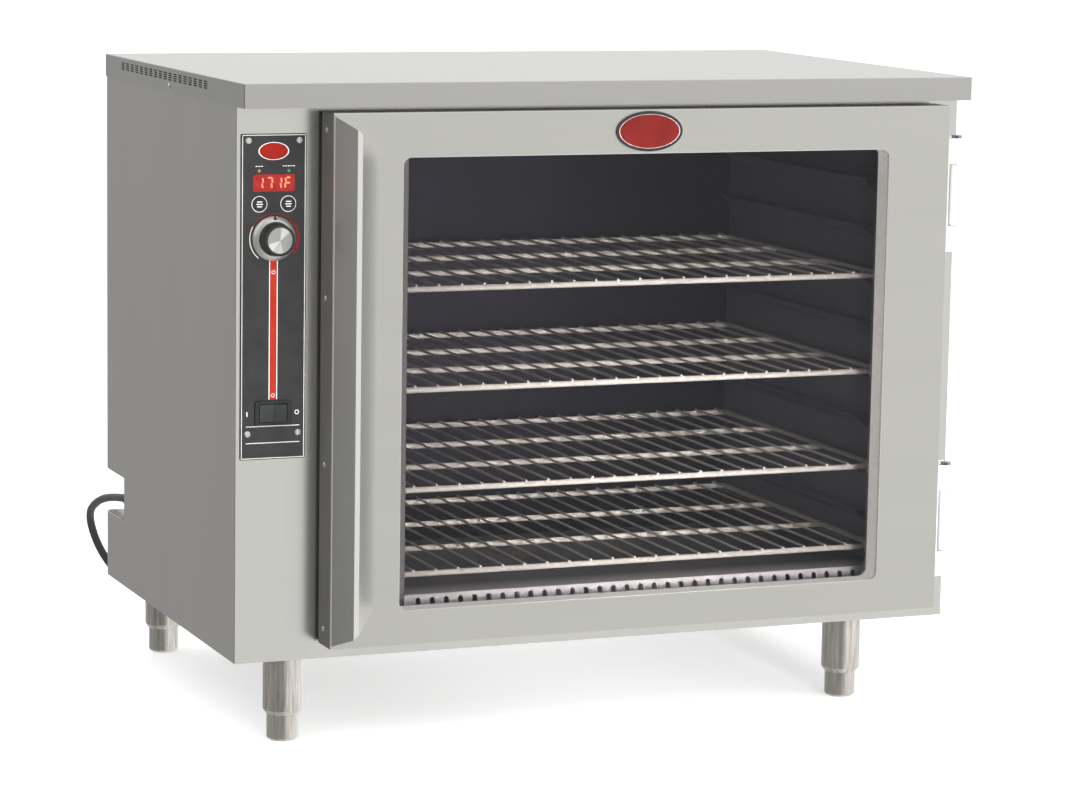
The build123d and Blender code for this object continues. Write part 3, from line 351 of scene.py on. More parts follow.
# Metals
def brushed_sheet(name, along, dark, light, roughness, grain=0.8, run=160, spread=0.09,
                  bump=0.04, metal=1.0):
    """Stainless sheet brushed in one direction by a belt: fine parallel lines stretch each
    highlight across the grain, and faint wide bands show where the belt passed."""
    finish, tree = new_finish(name)
    lines = add(tree, "ShaderNodeTexNoise", Vector=place_of(tree, grain_scale(along, run, grain)),
                Scale=1.0, Detail=3.0, Roughness=0.7).outputs["Fac"]
    bands = add(tree, "ShaderNodeTexNoise", Vector=place_of(tree, grain_scale(along, 900, 60)),
                Scale=1.0, Detail=2.0, Roughness=0.5).outputs["Fac"]
    both = add(tree, "ShaderNodeMath", {"operation": "MULTIPLY_ADD"}, i0=lines, i1=0.55,
               i2=add(tree, "ShaderNodeMath", {"operation": "MULTIPLY"}, i0=bands,
                      i1=0.45).outputs[0]).outputs[0]
    relief = add(tree, "ShaderNodeBump", Height=lines, Strength=bump, Distance=0.1 * mm)
    shader = add(tree, "ShaderNodeBsdfPrincipled", Metallic=metal, Normal=relief.outputs["Normal"],
                 Base_Color=two_tone(tree, both, 0.3, 0.7, dark, light),
                 Roughness=level(tree, both, roughness - spread, roughness + spread))
    close_off(tree, shader.outputs[0])
    return finish


def rolled_sheet(name, dark, light, roughness, patch=30):
    """Plain mill-finish sheet: soft cloudy patches from the rolls and no direction."""
    finish, tree = new_finish(name)
    clouds = add(tree, "ShaderNodeTexNoise", Vector=place_of(tree), Scale=1 / (patch * mm),
                 Detail=4.0, Roughness=0.6).outputs["Fac"]
    specks = add(tree, "ShaderNodeTexNoise", Vector=place_of(tree), Scale=1 / (1.5 * mm),
                 Detail=2.0).outputs["Fac"]
    relief = add(tree, "ShaderNodeBump", Height=specks, Strength=0.06, Distance=0.1 * mm)
    shader = add(tree, "ShaderNodeBsdfPrincipled", Metallic=1.0, Normal=relief.outputs["Normal"],
                 Base_Color=two_tone(tree, clouds, 0.3, 0.7, dark, light),
                 Roughness=level(tree, clouds, roughness - 0.06, roughness + 0.06))
    close_off(tree, shader.outputs[0])
    return finish


def turned_metal(name, dark, light, roughness, ring=0.35, metal=1.0):
    """Metal turned or polished on a machine: fine rings that catch the light in thin lines."""
    finish, tree = new_finish(name)
    rings = add(tree, "ShaderNodeTexNoise", Vector=place_of(tree, grain_scale("x", 6, ring)),
                Scale=1.0, Detail=2.0).outputs["Fac"]
    relief = add(tree, "ShaderNodeBump", Height=rings, Strength=0.05, Distance=0.05 * mm)
    shader = add(tree, "ShaderNodeBsdfPrincipled", Metallic=metal, Normal=relief.outputs["Normal"],
                 Base_Color=two_tone(tree, rings, 0.35, 0.65, dark, light),
                 Roughness=level(tree, rings, roughness - 0.05, roughness + 0.08))
    close_off(tree, shader.outputs[0])
    return finish


# Plastics, rubber, wool and glass
def moulded(name, dark, light, roughness, grit=0.6, bump=0.15, specular=0.5):
    """Injection-moulded plastic: an even colour broken by the tool's fine spark texture, which
    scatters the light into a soft gloss."""
    finish, tree = new_finish(name)
    clouds = add(tree, "ShaderNodeTexNoise", Vector=place_of(tree), Scale=1 / (20 * mm),
                 Detail=3.0).outputs["Fac"]
    grains = add(tree, "ShaderNodeTexNoise", Vector=place_of(tree), Scale=1 / (grit * mm),
                 Detail=2.0).outputs["Fac"]
    relief = add(tree, "ShaderNodeBump", Height=grains, Strength=bump, Distance=0.05 * mm)
    shader = add(tree, "ShaderNodeBsdfPrincipled", Metallic=0.0, Normal=relief.outputs["Normal"],
                 Base_Color=two_tone(tree, clouds, 0.3, 0.7, dark, light),
                 Specular_IOR_Level=specular,
                 Roughness=level(tree, grains, roughness - 0.08, roughness + 0.08))
    close_off(tree, shader.outputs[0])
    return finish


def glowing(name, dark, light, strength, roughness=0.25):
    """Plastic or sealant that gives off light and fills the colour, fading a little from place to
    place: behind the display a lamp does this, while on the sealant between the panes the glow is
    painted light, as there is no lamp."""
    finish, tree = new_finish(name)
    clouds = add(tree, "ShaderNodeTexNoise", Vector=place_of(tree), Scale=1 / (6 * mm),
                 Detail=2.0).outputs["Fac"]
    colour = two_tone(tree, clouds, 0.3, 0.7, dark, light)
    shader = add(tree, "ShaderNodeBsdfPrincipled", Base_Color=colour, Emission_Color=colour,
                 Emission_Strength=strength, Roughness=roughness)
    close_off(tree, shader.outputs[0])
    return finish


def clear_pane(name, code, haze):
    """Coated float glass: light passes with a faint tint, its coating keeps the mirror image weak,
    and that grows at a low angle."""
    finish, tree = new_finish(name)
    smears = add(tree, "ShaderNodeTexNoise", Vector=place_of(tree), Scale=1 / (90 * mm),
                 Detail=3.0).outputs["Fac"]
    through = add(tree, "ShaderNodeBsdfTransparent", Color=tint(code))
    mirror = add(tree, "ShaderNodeBsdfGlossy", Color=tint("#e8eef0"),
                 Roughness=level(tree, smears, 0.02, 0.02 + haze))
    edge_on = add(tree, "ShaderNodeFresnel", IOR=1.22)
    shader = add(tree, "ShaderNodeMixShader", Fac=edge_on.outputs[0], i1=through.outputs[0],
                 i2=mirror.outputs[0])
    close_off(tree, shader.outputs[0])
    return finish


def mineral_wool():
    """Mineral wool slab: matted yellow fibres, dull and rough."""
    finish, tree = new_finish("mineral_wool")
    fibres = add(tree, "ShaderNodeTexNoise", Vector=place_of(tree, grain_scale("x", 14, 2.5)),
                 Scale=1.0, Detail=6.0, Roughness=0.75).outputs["Fac"]
    relief = add(tree, "ShaderNodeBump", Height=fibres, Strength=0.6, Distance=1.5 * mm)
    shader = add(tree, "ShaderNodeBsdfPrincipled", Roughness=0.95,
                 Base_Color=two_tone(tree, fibres, 0.3, 0.7, "#8f8148", "#c9bb7a"),
                 Normal=relief.outputs["Normal"])
    close_off(tree, shader.outputs[0])
    return finish


def lamp_lenses():
    """Two small moulded lenses in one node: amber on the left, green on the right."""
    finish, tree = new_finish("lens_acrylic")
    across = add(tree, "ShaderNodeSeparateXYZ",
                 Vector=add(tree, "ShaderNodeTexCoord").outputs["Object"]).outputs["X"]
    lamp_x = middle_of("status_lamps").x * mm
    side = add(tree, "ShaderNodeMath", {"operation": "GREATER_THAN"}, i0=across,
               i1=lamp_x).outputs[0]
    colour = two_tone(tree, side, 0.0, 1.0, "#96712a", "#1f8848")
    shader = add(tree, "ShaderNodeBsdfPrincipled", Base_Color=colour, Emission_Color=colour,
                 Emission_Strength=0.3, Roughness=0.2)
    close_off(tree, shader.outputs[0])
    return finish


def pan_cover_sheet():
    """Brushed sheet of the pan cover, with painted light and shade: painted bright along the front
    flange and painted darker further back. The tint is drawn to match the photograph and its cause
    isn't known."""
    finish, tree = new_finish("pan_cover_painted_light_and_shade")
    depth = add(tree, "ShaderNodeSeparateXYZ",
                Vector=add(tree, "ShaderNodeTexCoord").outputs["Object"]).outputs["Y"]
    # Painted light and shade: the colour runs by depth from bright at the front flange to dark
    # further back.
    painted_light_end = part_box("pan_cover")[0].y + 9 * mm
    painted_shade_share = add(tree, "ShaderNodeMapRange", Value=depth, From_Min=painted_light_end,
                 From_Max=painted_light_end + 45 * mm).outputs["Result"]
    lines = add(tree, "ShaderNodeTexNoise", Vector=place_of(tree, grain_scale("x", 160, 0.8)),
                Scale=1.0, Detail=3.0, Roughness=0.7).outputs["Fac"]
    streaked = add(tree, "ShaderNodeMath", {"operation": "MULTIPLY_ADD"}, i0=lines, i1=0.08,
                   i2=painted_shade_share).outputs[0]
    shader = add(tree, "ShaderNodeBsdfPrincipled", Metallic=0.25,
                 Base_Color=two_tone(tree, streaked, 0.0, 1.0, "#fdfcf6", "#45434c"),
                 Roughness=level(tree, lines, 0.28, 0.42))
    close_off(tree, shader.outputs[0])
    return finish


def spun_aluminium():
    """The knob's face, spun on a lathe: bright rays from its middle are painted highlights in its
    colour, standing for the light its rings would mirror across their own run."""
    finish, tree = new_finish("spun_aluminium")
    centre = middle_of("knob_cap") * mm
    flat = add(tree, "ShaderNodeSeparateXYZ",
               Vector=add(tree, "ShaderNodeTexCoord").outputs["Object"])
    right = add(tree, "ShaderNodeMath", {"operation": "SUBTRACT"}, i0=flat.outputs["X"],
                i1=centre.x).outputs[0]
    rise = add(tree, "ShaderNodeMath", {"operation": "SUBTRACT"}, i0=flat.outputs["Z"],
               i1=centre.z).outputs[0]
    # Painted highlights: bright rays drawn into the colour by the angle round the knob's middle.
    angle = add(tree, "ShaderNodeMath", {"operation": "ARCTAN2"}, i0=rise, i1=right).outputs[0]
    twice = add(tree, "ShaderNodeMath", {"operation": "MULTIPLY_ADD"}, i0=angle, i1=2.0,
                i2=-1.9).outputs[0]
    often = add(tree, "ShaderNodeMath", {"operation": "MULTIPLY_ADD"}, i0=angle, i1=5.0,
                i2=0.6).outputs[0]
    broad_painted_rays = add(tree, "ShaderNodeMath", {"operation": "COSINE"}, i0=twice).outputs[0]
    painted_rays = add(tree, "ShaderNodeMath", {"operation": "MULTIPLY_ADD"},
               i0=add(tree, "ShaderNodeMath", {"operation": "COSINE"}, i0=often).outputs[0],
               i1=0.55, i2=broad_painted_rays).outputs[0]
    reach = add(tree, "ShaderNodeMath", {"operation": "SQRT"},
                i0=add(tree, "ShaderNodeMath", {"operation": "MULTIPLY_ADD"}, i0=right, i1=right,
                       i2=add(tree, "ShaderNodeMath", {"operation": "MULTIPLY"}, i0=rise,
                              i1=rise).outputs[0]).outputs[0]).outputs[0]
    rings = add(tree, "ShaderNodeMath", {"operation": "SINE"},
                i0=add(tree, "ShaderNodeMath", {"operation": "MULTIPLY"}, i0=reach,
                       i1=2 * math.pi / (0.7 * mm)).outputs[0]).outputs[0]
    painted_highlight = add(tree, "ShaderNodeMath", {"operation": "MULTIPLY_ADD"}, i0=rings, i1=0.12,
              i2=painted_rays).outputs[0]
    shader = add(tree, "ShaderNodeBsdfPrincipled", Metallic=1.0,
                 Base_Color=two_tone(tree, level(tree, painted_highlight, 0.5, 1.0), 0.1, 1.0,
                                     "#6c6b69", "#f2f1ee"),
                 Roughness=0.32)
    close_off(tree, shader.outputs[0])
    return finish


# The finishes of this cabinet
side_steel = brushed_sheet("brushed_stainless_sides", "z", "#c2c0bd", "#cac8c5", 0.42, spread=0.04)
front_steel = brushed_sheet("brushed_stainless_front", "z", "#cdccc8", "#d4d3cf", 0.24, spread=0.03)
top_steel = brushed_sheet("brushed_stainless_top", "x", "#b9b8b5", "#c0bfbc", 0.38, spread=0.04)
door_steel = brushed_sheet("brushed_stainless_door", "x", "#c7c6c1", "#cdccc7", 0.40, spread=0.03)
handle_steel = brushed_sheet("brushed_stainless_handle", "z", "#e4e3df", "#eeede9", 0.34)
hidden_steel = rolled_sheet("mill_stainless", "#a3a2a0", "#bcbbb9", 0.45)
# Painted shade: the chamber's stainless is coloured dark and bluish for its dim inside, and the
# rack walls carry a lighter copy of the same painted shade.
chamber_steel_painted_shade = brushed_sheet("brushed_stainless_chamber_painted_shade", "z", "#625f6b", "#72707c", 0.42, 1.2,
                              bump=0.02, metal=0.95)
rack_steel_painted_shade = brushed_sheet("brushed_stainless_rack_wall_painted_shade", "z", "#9391a0", "#a4a2b0", 0.45, 1.2,
                           bump=0.02, metal=0.5)
pan_steel = brushed_sheet("brushed_stainless_pan", "x", "#f0efea", "#fbfaf6", 0.34, metal=0.25)
hinge_steel = turned_metal("satin_stainless_hinge", "#f0f0f0", "#fbfbfb", 0.45, metal=0.5)
leg_steel = brushed_sheet("brushed_stainless_leg", "z", "#96918a", "#f4f0ea", 0.24, 3.0, 60,
                          metal=0.85)
wire_nickel = turned_metal("nickel_plated_wire", "#f6f2de", "#fffdee", 0.26, metal=0.3)
screw_steel = turned_metal("turned_stainless_screw", "#c9c9c7", "#dededc", 0.26, metal=0.8)
satin_aluminium = turned_metal("satin_anodised_aluminium", "#c4c2bd", "#dedcd8", 0.34, metal=0.85)
rolled_edge = turned_metal("rolled_stainless_edge", "#cbcac3", "#d8d7d0", 0.42, metal=0.8)
pin_steel = turned_metal("ground_steel_pin", "#8f8f8f", "#a9a9a9", 0.3)
brass = turned_metal("drawn_brass", "#b8994f", "#d6b869", 0.3)
sheath_steel = rolled_sheet("annealed_heater_sheath", "#4a4540", "#6a625a", 0.5, 8)
overlay = moulded("polyester_overlay", "#303031", "#373738", 0.5, 0.5, 0.06, 0.22)
black_abs = moulded("moulded_black_abs", "#1a1a1b", "#252526", 0.38)
rocker_nylon = moulded("moulded_grey_nylon", "#27292a", "#333536", 0.35)
bezel_nylon = moulded("moulded_black_nylon", "#17191a", "#222425", 0.4)
cream_nylon = moulded("moulded_cream_nylon", "#cfc8b4", "#ded8c6", 0.5)
relay_case = moulded("moulded_relay_case", "#2a2f36", "#39404a", 0.35)
board_laminate = moulded("glass_epoxy_board", "#1d4a2c", "#2c6640", 0.4, 1.0)
lead_rubber = moulded("rubber_lead_sheath", "#2c2c2e", "#3b3b3e", 0.5, 0.8, 0.2)
door_silicone = moulded("extruded_silicone_gasket", "#2b2b2d", "#3a3a3c", 0.6, 0.8, 0.2)
white_ink = moulded("screen_print_white", "#e6e6e6", "#f5f5f5", 0.5, 0.4, 0.05, 0.2)
silver_ink = moulded("screen_print_silver", "#bfbdb8", "#d8d6d0", 0.4, 0.4, 0.05, 0.2)
red_ink = moulded("screen_print_red", "#a2301e", "#ad3523", 0.6, 0.4, 0.05, 0.05)
dark_red_ink = moulded("screen_print_dark_red", "#7a2521", "#862b27", 0.6, 0.4, 0.05, 0.05)
badge_enamel = moulded("fired_red_enamel", "#58100e", "#661410", 0.22, 3.0, 0.02, 0.3)
oval_ink = moulded("screen_print_oval_red", "#8c1f17", "#98241b", 0.5, 0.4, 0.05, 0.1)
rim_enamel = moulded("fired_black_enamel", "#1e1517", "#2c2022", 0.25, 3.0, 0.02)
# The sealant has no lamp behind it: its glow is painted light.
spacer_painted_glow = glowing("white_butyl_sealant_painted_glow", "#dedcd6", "#eae8e2", 0.3, 0.6)
display_acrylic = glowing("red_display_acrylic", "#7c0809", "#9c0f0e", 0.3)
digit_glow = glowing("display_digit_light", "#ff6a48", "#ff8a66", 1.0)
outer_pane = clear_pane("coated_float_glass_outer", "#efeeef", 0.03)
inner_pane = clear_pane("coated_float_glass_inner", "#efeeef", 0.03)
wool = mineral_wool()

node_finishes = {
    "left_side_panel": side_steel, "right_side_panel": side_steel, "back_panel": side_steel,
    "bottom_panel": hidden_steel, "front_frame": front_steel, "top_cover": top_steel,
    "cord_recess": hidden_steel, "ceiling_liner": chamber_steel_painted_shade, "floor_liner": chamber_steel_painted_shade,
    "back_liner": chamber_steel_painted_shade, "left_rack_wall": rack_steel_painted_shade,
    "right_rack_wall": rack_steel_painted_shade, "insulation_slabs": wool, "pan_cover": pan_cover_sheet(),
    "water_pan": pan_steel, "heating_element": sheath_steel, "temperature_probe": screw_steel,
    "door_shell": door_steel, "door_liner": door_steel, "outer_glass": outer_pane,
    "inner_glass": inner_pane, "door_gasket": door_silicone, "door_handle": handle_steel,
    "door_badge": rim_enamel, "lower_hinge_body_leaf": hinge_steel,
    "upper_hinge_body_leaf": hinge_steel, "lower_hinge_door_leaf": hinge_steel,
    "upper_hinge_door_leaf": hinge_steel, "hinge_pins": pin_steel, "control_plate": overlay,
    "display_window": display_acrylic, "status_lamps": lamp_lenses(), "left_button": black_abs,
    "right_button": black_abs, "knob_skirt": satin_aluminium, "knob_cap": black_abs,
    "knob_spindle": pin_steel, "encoder_body": relay_case, "control_board": board_laminate,
    "rocker_housing": bezel_nylon, "rocker": rocker_nylon, "terminal_block": cream_nylon,
    "power_relay": relay_case, "leg_tubes": leg_steel, "cord_tie": black_abs,
}
for number in range(1, 5):
    node_finishes[f"wire_shelf_{number}"] = wire_nickel
for corner in ("front_left", "front_right", "rear_left", "rear_right"):
    node_finishes[f"foot_{corner}"] = leg_steel


def dress(piece, finish):
    """Gives a piece one finish all over."""
    piece.data.materials.clear()
    piece.data.materials.append(finish)


def dress_nodes():
    """Gives each carried-over node its finish."""
    for name, finish in node_finishes.items():
        for place in range(max(1, len(nodes[name].material_slots))):
            if not nodes[name].material_slots:
                nodes[name].data.materials.append(finish)
            nodes[name].material_slots[place].material = finish


def soften(name, width):
    """Welds a node's triangles and rounds its edges by a width in millimetres."""
    piece = nodes[name]
    weld = piece.modifiers.new("weld", "WELD")
    weld.merge_threshold = 0.02 * mm
    bevel = piece.modifiers.new("edge", "BEVEL")
    bevel.width = width * mm
    bevel.segments = 2
    bevel.limit_method = "ANGLE"
    bevel.angle_limit = math.radians(50)
    bevel.use_clamp_overlap = True


dress_nodes()
for sheet in ("left_side_panel", "right_side_panel", "front_frame", "back_panel", "door_handle",
              "control_plate", "lower_hinge_body_leaf", "upper_hinge_body_leaf",
              "lower_hinge_door_leaf", "upper_hinge_door_leaf", "rocker"):
    soften(sheet, 0.35)


# Screws
def cross_screw(name, radius, head, place, turn):
    """A domed head with a cross recess cut into it."""
    profile = [(0, radius), (head * 0.35, radius), (head * 0.7, radius * 0.88),
               (head * 0.92, radius * 0.62), (head, radius * 0.3)]
    screw = turned(name, profile, (0, 0, 0), (0, 0, 0), sides=32)
    cutters = [flat_bar("cutter", long * radius, wide * radius, head, (0, 0, head * 0.45),
                        (0, 0, 0))
               for long, wide in ((1.35, 0.36), (0.36, 1.35))]
    for cutter in cutters:
        cut = screw.modifiers.new("recess", "BOOLEAN")
        cut.operation = "DIFFERENCE"
        cut.object = cutter
        cut.solver = "EXACT"
        clear_choice()
        screw.select_set(True)
        bpy.context.view_layer.objects.active = screw
        bpy.ops.object.modifier_apply(modifier=cut.name)
        bpy.data.objects.remove(cutter, do_unlink=True)
    settle(screw, place, turn)
    finish_edges(screw, angle=25)
    return screw


def screw_group(name, node, radius, head, first, turn, shifts, body):
    """One screw modelled and copied to its other places, standing for the node's plain heads."""
    master = cross_screw(name, radius, head, first, turn)
    copies = [copy_to(master, f"{name}_copy", shift) for shift in shifts]
    group = joined(name, [master] + copies)
    dress(group, screw_steel)
    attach(group, body)
    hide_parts(node)
    return group


def plate_screws():
    """Four screws at the corners of the control plate."""
    low, high = (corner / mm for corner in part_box("plate_screws"))
    radius = 3.2
    width = high.x - low.x - 2 * radius
    height = high.z - low.z - 2 * radius
    first = (low.x + radius, high.y, low.z + radius)
    screw_group("plate_screw_heads", "plate_screws", radius, high.y - low.y, first, front,
                [(width, 0, 0), (0, 0, height), (width, 0, height)], "casing")


def door_screws():
    """Four screws up the door's left edge."""
    low, high = (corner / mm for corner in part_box("door_screws"))
    radius = 3.0
    pitch = (high.z - low.z - 2 * radius) / 3
    first = (high.x, (low.y + high.y) / 2, low.z + radius)
    screw_group("door_screw_heads", "door_screws", radius, high.x - low.x, first, leftward,
                [(0, 0, pitch * count) for count in (1, 2, 3)], "door")


def cover_screws():
    """One screw in each side lip of the cover."""
    low, high = (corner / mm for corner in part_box("cover_screws"))
    head = 1.4
    middle = (low + high) / 2
    left = cross_screw("left_cover_screw", 3.0, head, (low.x + head, middle.y, middle.z), leftward)
    right = cross_screw("right_cover_screw", 3.0, head, (high.x - head, middle.y, middle.z),
                        rightward)
    pair = joined("cover_screw_heads", [left, right])
    dress(pair, screw_steel)
    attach(pair, "casing")
    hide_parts("cover_screws")


plate_screws()
door_screws()
cover_screws()

# Printed plate: inks lie on the overlay's face as thin films
plate_low, plate_high = (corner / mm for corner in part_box("control_plate"))
plate_x = (plate_low.x + plate_high.x) / 2
plate_face = plate_low.y
ink = 0.12
knob_middle = middle_of("knob_skirt")
rocker_middle = middle_of("rocker_housing")
button_middles = [middle_of("left_button"), middle_of("right_button")]
bar_width = 7.2
bar_edge = 0.8
bar_top = knob_middle.z - 21.0
bar_bottom = rocker_middle.z + 13.6
scale_radius = 24.3
lamp_offset = 15.3


def on_plate(x, z, lift=0.0):
    """A place on the plate's face."""
    return (x, plate_face - lift, z)


def printed_frame():
    """A thin light line just inside the plate's edge."""
    inset = 1.3
    line = 0.8
    width = plate_high.x - plate_low.x - 2 * inset
    height = plate_high.z - plate_low.z - 2 * inset
    middle_z = (plate_low.z + plate_high.z) / 2
    sides = []
    for side in (-1, 1):
        sides.append(flat_bar("edge", line, height, ink, on_plate(plate_x + side * width / 2,
                                                                  middle_z), front))
        sides.append(flat_bar("edge", width, line, ink,
                              on_plate(plate_x, middle_z + side * height / 2), front))
    return sides


def power_mark(z):
    """A small open ring with a stroke in its gap, printed over the bar."""
    ring = flat_ring("mark", 1.5, 2.0, ink, on_plate(plate_x, z, ink), front, 35, 325, sides=48)
    stroke = flat_bar("mark", 0.45, 1.7, ink, on_plate(plate_x, z, ink), front, shift=(0, 1.5))
    return [ring, stroke]


def white_print():
    """Button rings, the bar's white edges, the switch's I and O and the small marks."""
    shapes = []
    for middle in button_middles:
        shapes.append(flat_ring("ring", 7.45, 8.1, ink, on_plate(middle.x, middle.z), front))
    for side in (-1, 1):
        x = plate_x + side * (bar_width + bar_edge) / 2
        shapes.append(flat_bar("bar_edge", bar_edge, bar_top - bar_bottom, ink,
                               on_plate(x, (bar_top + bar_bottom) / 2), front))
    shapes += power_mark(bar_top - 12.5)
    shapes += power_mark(bar_bottom + 4.2)
    mark_z = middle_of("status_lamps").z + 4.6
    for side, dashes in ((-1, 3), (1, 5)):
        for dash in range(dashes):
            x = plate_x + side * lamp_offset + (dash - (dashes - 1) / 2) * 2.7
            shapes.append(flat_bar("lamp_mark", 1.9, 0.7, ink, on_plate(x, mark_z), front))
    shapes.append(flat_bar("on_mark", 0.9, 4.6, ink,
                           on_plate(plate_x - 26.9, rocker_middle.z - 0.6), front))
    shapes.append(flat_ring("off_mark", 1.6, 2.3, ink, on_plate(plate_x + 25.2, rocker_middle.z),
                            front, sides=48))
    piece = joined("plate_white_print", shapes)
    dress(piece, white_ink)
    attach(piece, "casing")


def button_marks():
    """Short bars on each button's face, where its use would be written."""
    for name, middle in zip(("left_button", "right_button"), button_middles):
        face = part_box(name)[0].y / mm
        bars = []
        for row, width in ((2.4, 5.4), (0, 6.8), (-2.4, 5.0)):
            bars.append(flat_bar("bar", width, 0.9, ink, (middle.x, face, middle.z + row), front))
        piece = joined(f"{name}_marks", bars)
        dress(piece, white_ink)
        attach(piece, name)


def silver_print():
    """The frame line, the silver part of the scale and the two lines under the switch."""
    shapes = printed_frame()
    shapes.append(flat_ring("scale", scale_radius, scale_radius + 0.9, ink,
                            on_plate(knob_middle.x, knob_middle.z), front, 220, 300))
    for height in (33.5, 16.7):
        shapes.append(flat_bar("line", 56.0, 0.8, ink, on_plate(plate_x, plate_low.z + height),
                               front))
    piece = joined("plate_silver_print", shapes)
    dress(piece, silver_ink)
    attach(piece, "casing")


def red_print():
    """The long bar below the knob."""
    bar = flat_bar("bar", bar_width, bar_top - bar_bottom, ink,
                   on_plate(plate_x, (bar_top + bar_bottom) / 2), front)
    dress(bar, red_ink)
    bar.name = "plate_red_bar"
    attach(bar, "casing")


def scale_print():
    """The red part of the scale: a thin line past the top that widens clockwise in steps."""
    centre = on_plate(knob_middle.x, knob_middle.z)
    thin = 0.8
    steps = 12
    sweep = 110
    arcs = [flat_ring("scale", scale_radius, scale_radius + thin, ink, centre, front, start, end,
                      sides=240) for start, end in ((300, 360), (0, 15))]
    for count in range(steps):
        start = 15 + sweep * count / steps
        width = thin + 2.2 * min(1.0, count / (steps * 0.68))
        arcs.append(flat_ring("scale", scale_radius, scale_radius + width, ink, centre, front,
                              start, start + sweep / steps + 0.5, sides=240))
    piece = joined("plate_red_scale", arcs)
    dress(piece, dark_red_ink)
    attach(piece, "casing")


def oval_badge(name, width, height, thickness, place, rim, body, fill, outline):
    """An enamelled oval with a raised field inside a rim."""
    ratio = height / width
    field = turned(name, [(0, width / 2), (thickness * 0.5, width / 2),
                          (thickness * 0.85, width / 2 - 0.5), (thickness, width / 2 - 1.6)],
                   (0, 0, 0), (0, 0, 0), sides=96)
    field.data.transform(Matrix.Diagonal((1, ratio, 1, 1)))
    settle(field, place, front)
    dress(field, fill)
    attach(field, body)
    band = flat_ring(f"{name}_rim", width / 2, width / 2 + rim, thickness * 0.8, place, front,
                     stretch=(height + rim) / (width + rim))
    finish_edges(band, 0.1)
    dress(band, outline)
    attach(band, body)


def plate_oval():
    """The small printed oval at the plate's top."""
    oval_badge("plate_oval", 29.5, 16.0, 0.3, on_plate(plate_x - 0.3, plate_high.z - 17.1), 1.1,
               "casing", oval_ink, white_ink)


def door_oval():
    """The red enamel in the door badge's rim."""
    low, high = (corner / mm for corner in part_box("door_badge"))
    middle = (low + high) / 2
    oval_badge("badge_field", 66.0, 34.0, 0.9, (middle.x, low.y + 0.62, middle.z), 0.55, "door",
               badge_enamel, silver_ink)


white_print()
button_marks()
silver_print()
red_print()
scale_print()
plate_oval()
door_oval()


# Display digits
def display_digits():
    """Seven-segment figures that glow on the display's face."""
    low, high = (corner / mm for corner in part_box("display_window"))
    segments = {"a": (0, 1, 0), "b": (1, 0.5, 1), "c": (1, -0.5, 1), "d": (0, -1, 0),
                "e": (-1, -0.5, 1), "f": (-1, 0.5, 1), "g": (0, 0, 0)}
    figures = {"1": "bc", "7": "abc", "F": "aefg"}
    half_width, half_height, stroke, pitch = 2.6, 5.2, 1.5, 9.6
    bars = []
    middle = ((low.x + high.x) / 2, low.y, (low.z + high.z) / 2)
    for place, figure in enumerate("171F"):
        centre = (place - 1.5) * pitch
        for segment in figures[figure]:
            across, up, upright = segments[segment]
            shift_z = up * half_height
            shift_x = centre + across * half_width + shift_z * 0.12
            width = stroke if upright else 2 * half_width - stroke
            height = half_height - stroke * 0.5 if upright else stroke
            bars.append(flat_bar("segment", width, height, ink, (middle[0] + shift_x, middle[1],
                                                                 middle[2] + shift_z), front,
                                 slant=-0.12 if upright else 0))
    piece = joined("display_digits", bars)
    dress(piece, digit_glow)
    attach(piece, "casing")


display_digits()


# Knob
def knob_face():
    """A spun disc set in the knob's end, with a fine turned edge."""
    cap_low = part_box("knob_cap")[0].y / mm
    disc = turned("knob_face", [(0, 12.9), (0.25, 12.9), (0.45, 12.6), (0.35, 12.1), (0.3, 0.4)],
                  (knob_middle.x, cap_low, knob_middle.z), front, sides=96)
    dress(disc, spun_aluminium())
    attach(disc, "knob")


def knob_cone():
    """The satin cone that rises from the skirt to the knob's body."""
    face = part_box("knob_skirt")[0].y / mm
    cone = turned("knob_cone", [(0, skirt_rim), (rim_height, skirt_rim), (cone_height, cone_top),
                                (cone_height + 0.3, cone_top - 0.8)],
                  (knob_middle.x, face, knob_middle.z), front, sides=96, edge=0.15)
    dress(cone, satin_aluminium)
    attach(cone, "knob")


def knob_pointer():
    """A black triangle on the cone, which points at the scale."""
    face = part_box("knob_skirt")[0].y / mm
    lean = math.atan2(skirt_rim - cone_top, cone_height - rim_height)
    pointer = turned("knob_pointer", [(0, 2.9), (0.3, 2.9)], (0, 0, 0), (0, 0, 0), sides=3)
    pointer.data.transform(Matrix.Diagonal((0.9, 1.15, 1, 1)))
    settle(pointer, (knob_middle.x, face - (cone_height + rim_height) / 2,
                     knob_middle.z + (skirt_rim + cone_top) / 2), (lean, 0, 0))
    dress(pointer, black_abs)
    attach(pointer, "knob")


skirt_rim = 21.9
rim_height = 0.5
cone_top = 18.7
cone_height = 3.4
knob_face()
knob_cone()
knob_pointer()


# Strain relief and plug
def strain_relief_sleeve():
    """A flange and a tapered rubber sleeve with ribs that let it bend."""
    low, high = (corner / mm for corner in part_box("strain_relief"))
    middle = (low + high) / 2
    length = high.y - low.y
    flange = 3.0
    ribs = 6
    profile = [(0, 9.5), (flange - 0.4, 9.5), (flange, 9.1), (flange, 7.9)]
    for rib in range(ribs):
        start = flange + 2 + (length - flange - 3) * rib / ribs
        pitch = (length - flange - 3) / ribs
        radius = 7.9 - 2.3 * rib / ribs
        profile += [(start, radius), (start + pitch * 0.18, radius - 0.9),
                    (start + pitch * 0.45, radius - 0.9), (start + pitch * 0.6, radius - 0.3)]
    profile.append((length, 5.5))
    sleeve = turned("strain_relief_sleeve", profile, (middle.x, low.y, middle.z), rearward)
    dress(sleeve, lead_rubber)
    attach(sleeve, "casing")
    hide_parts("strain_relief")


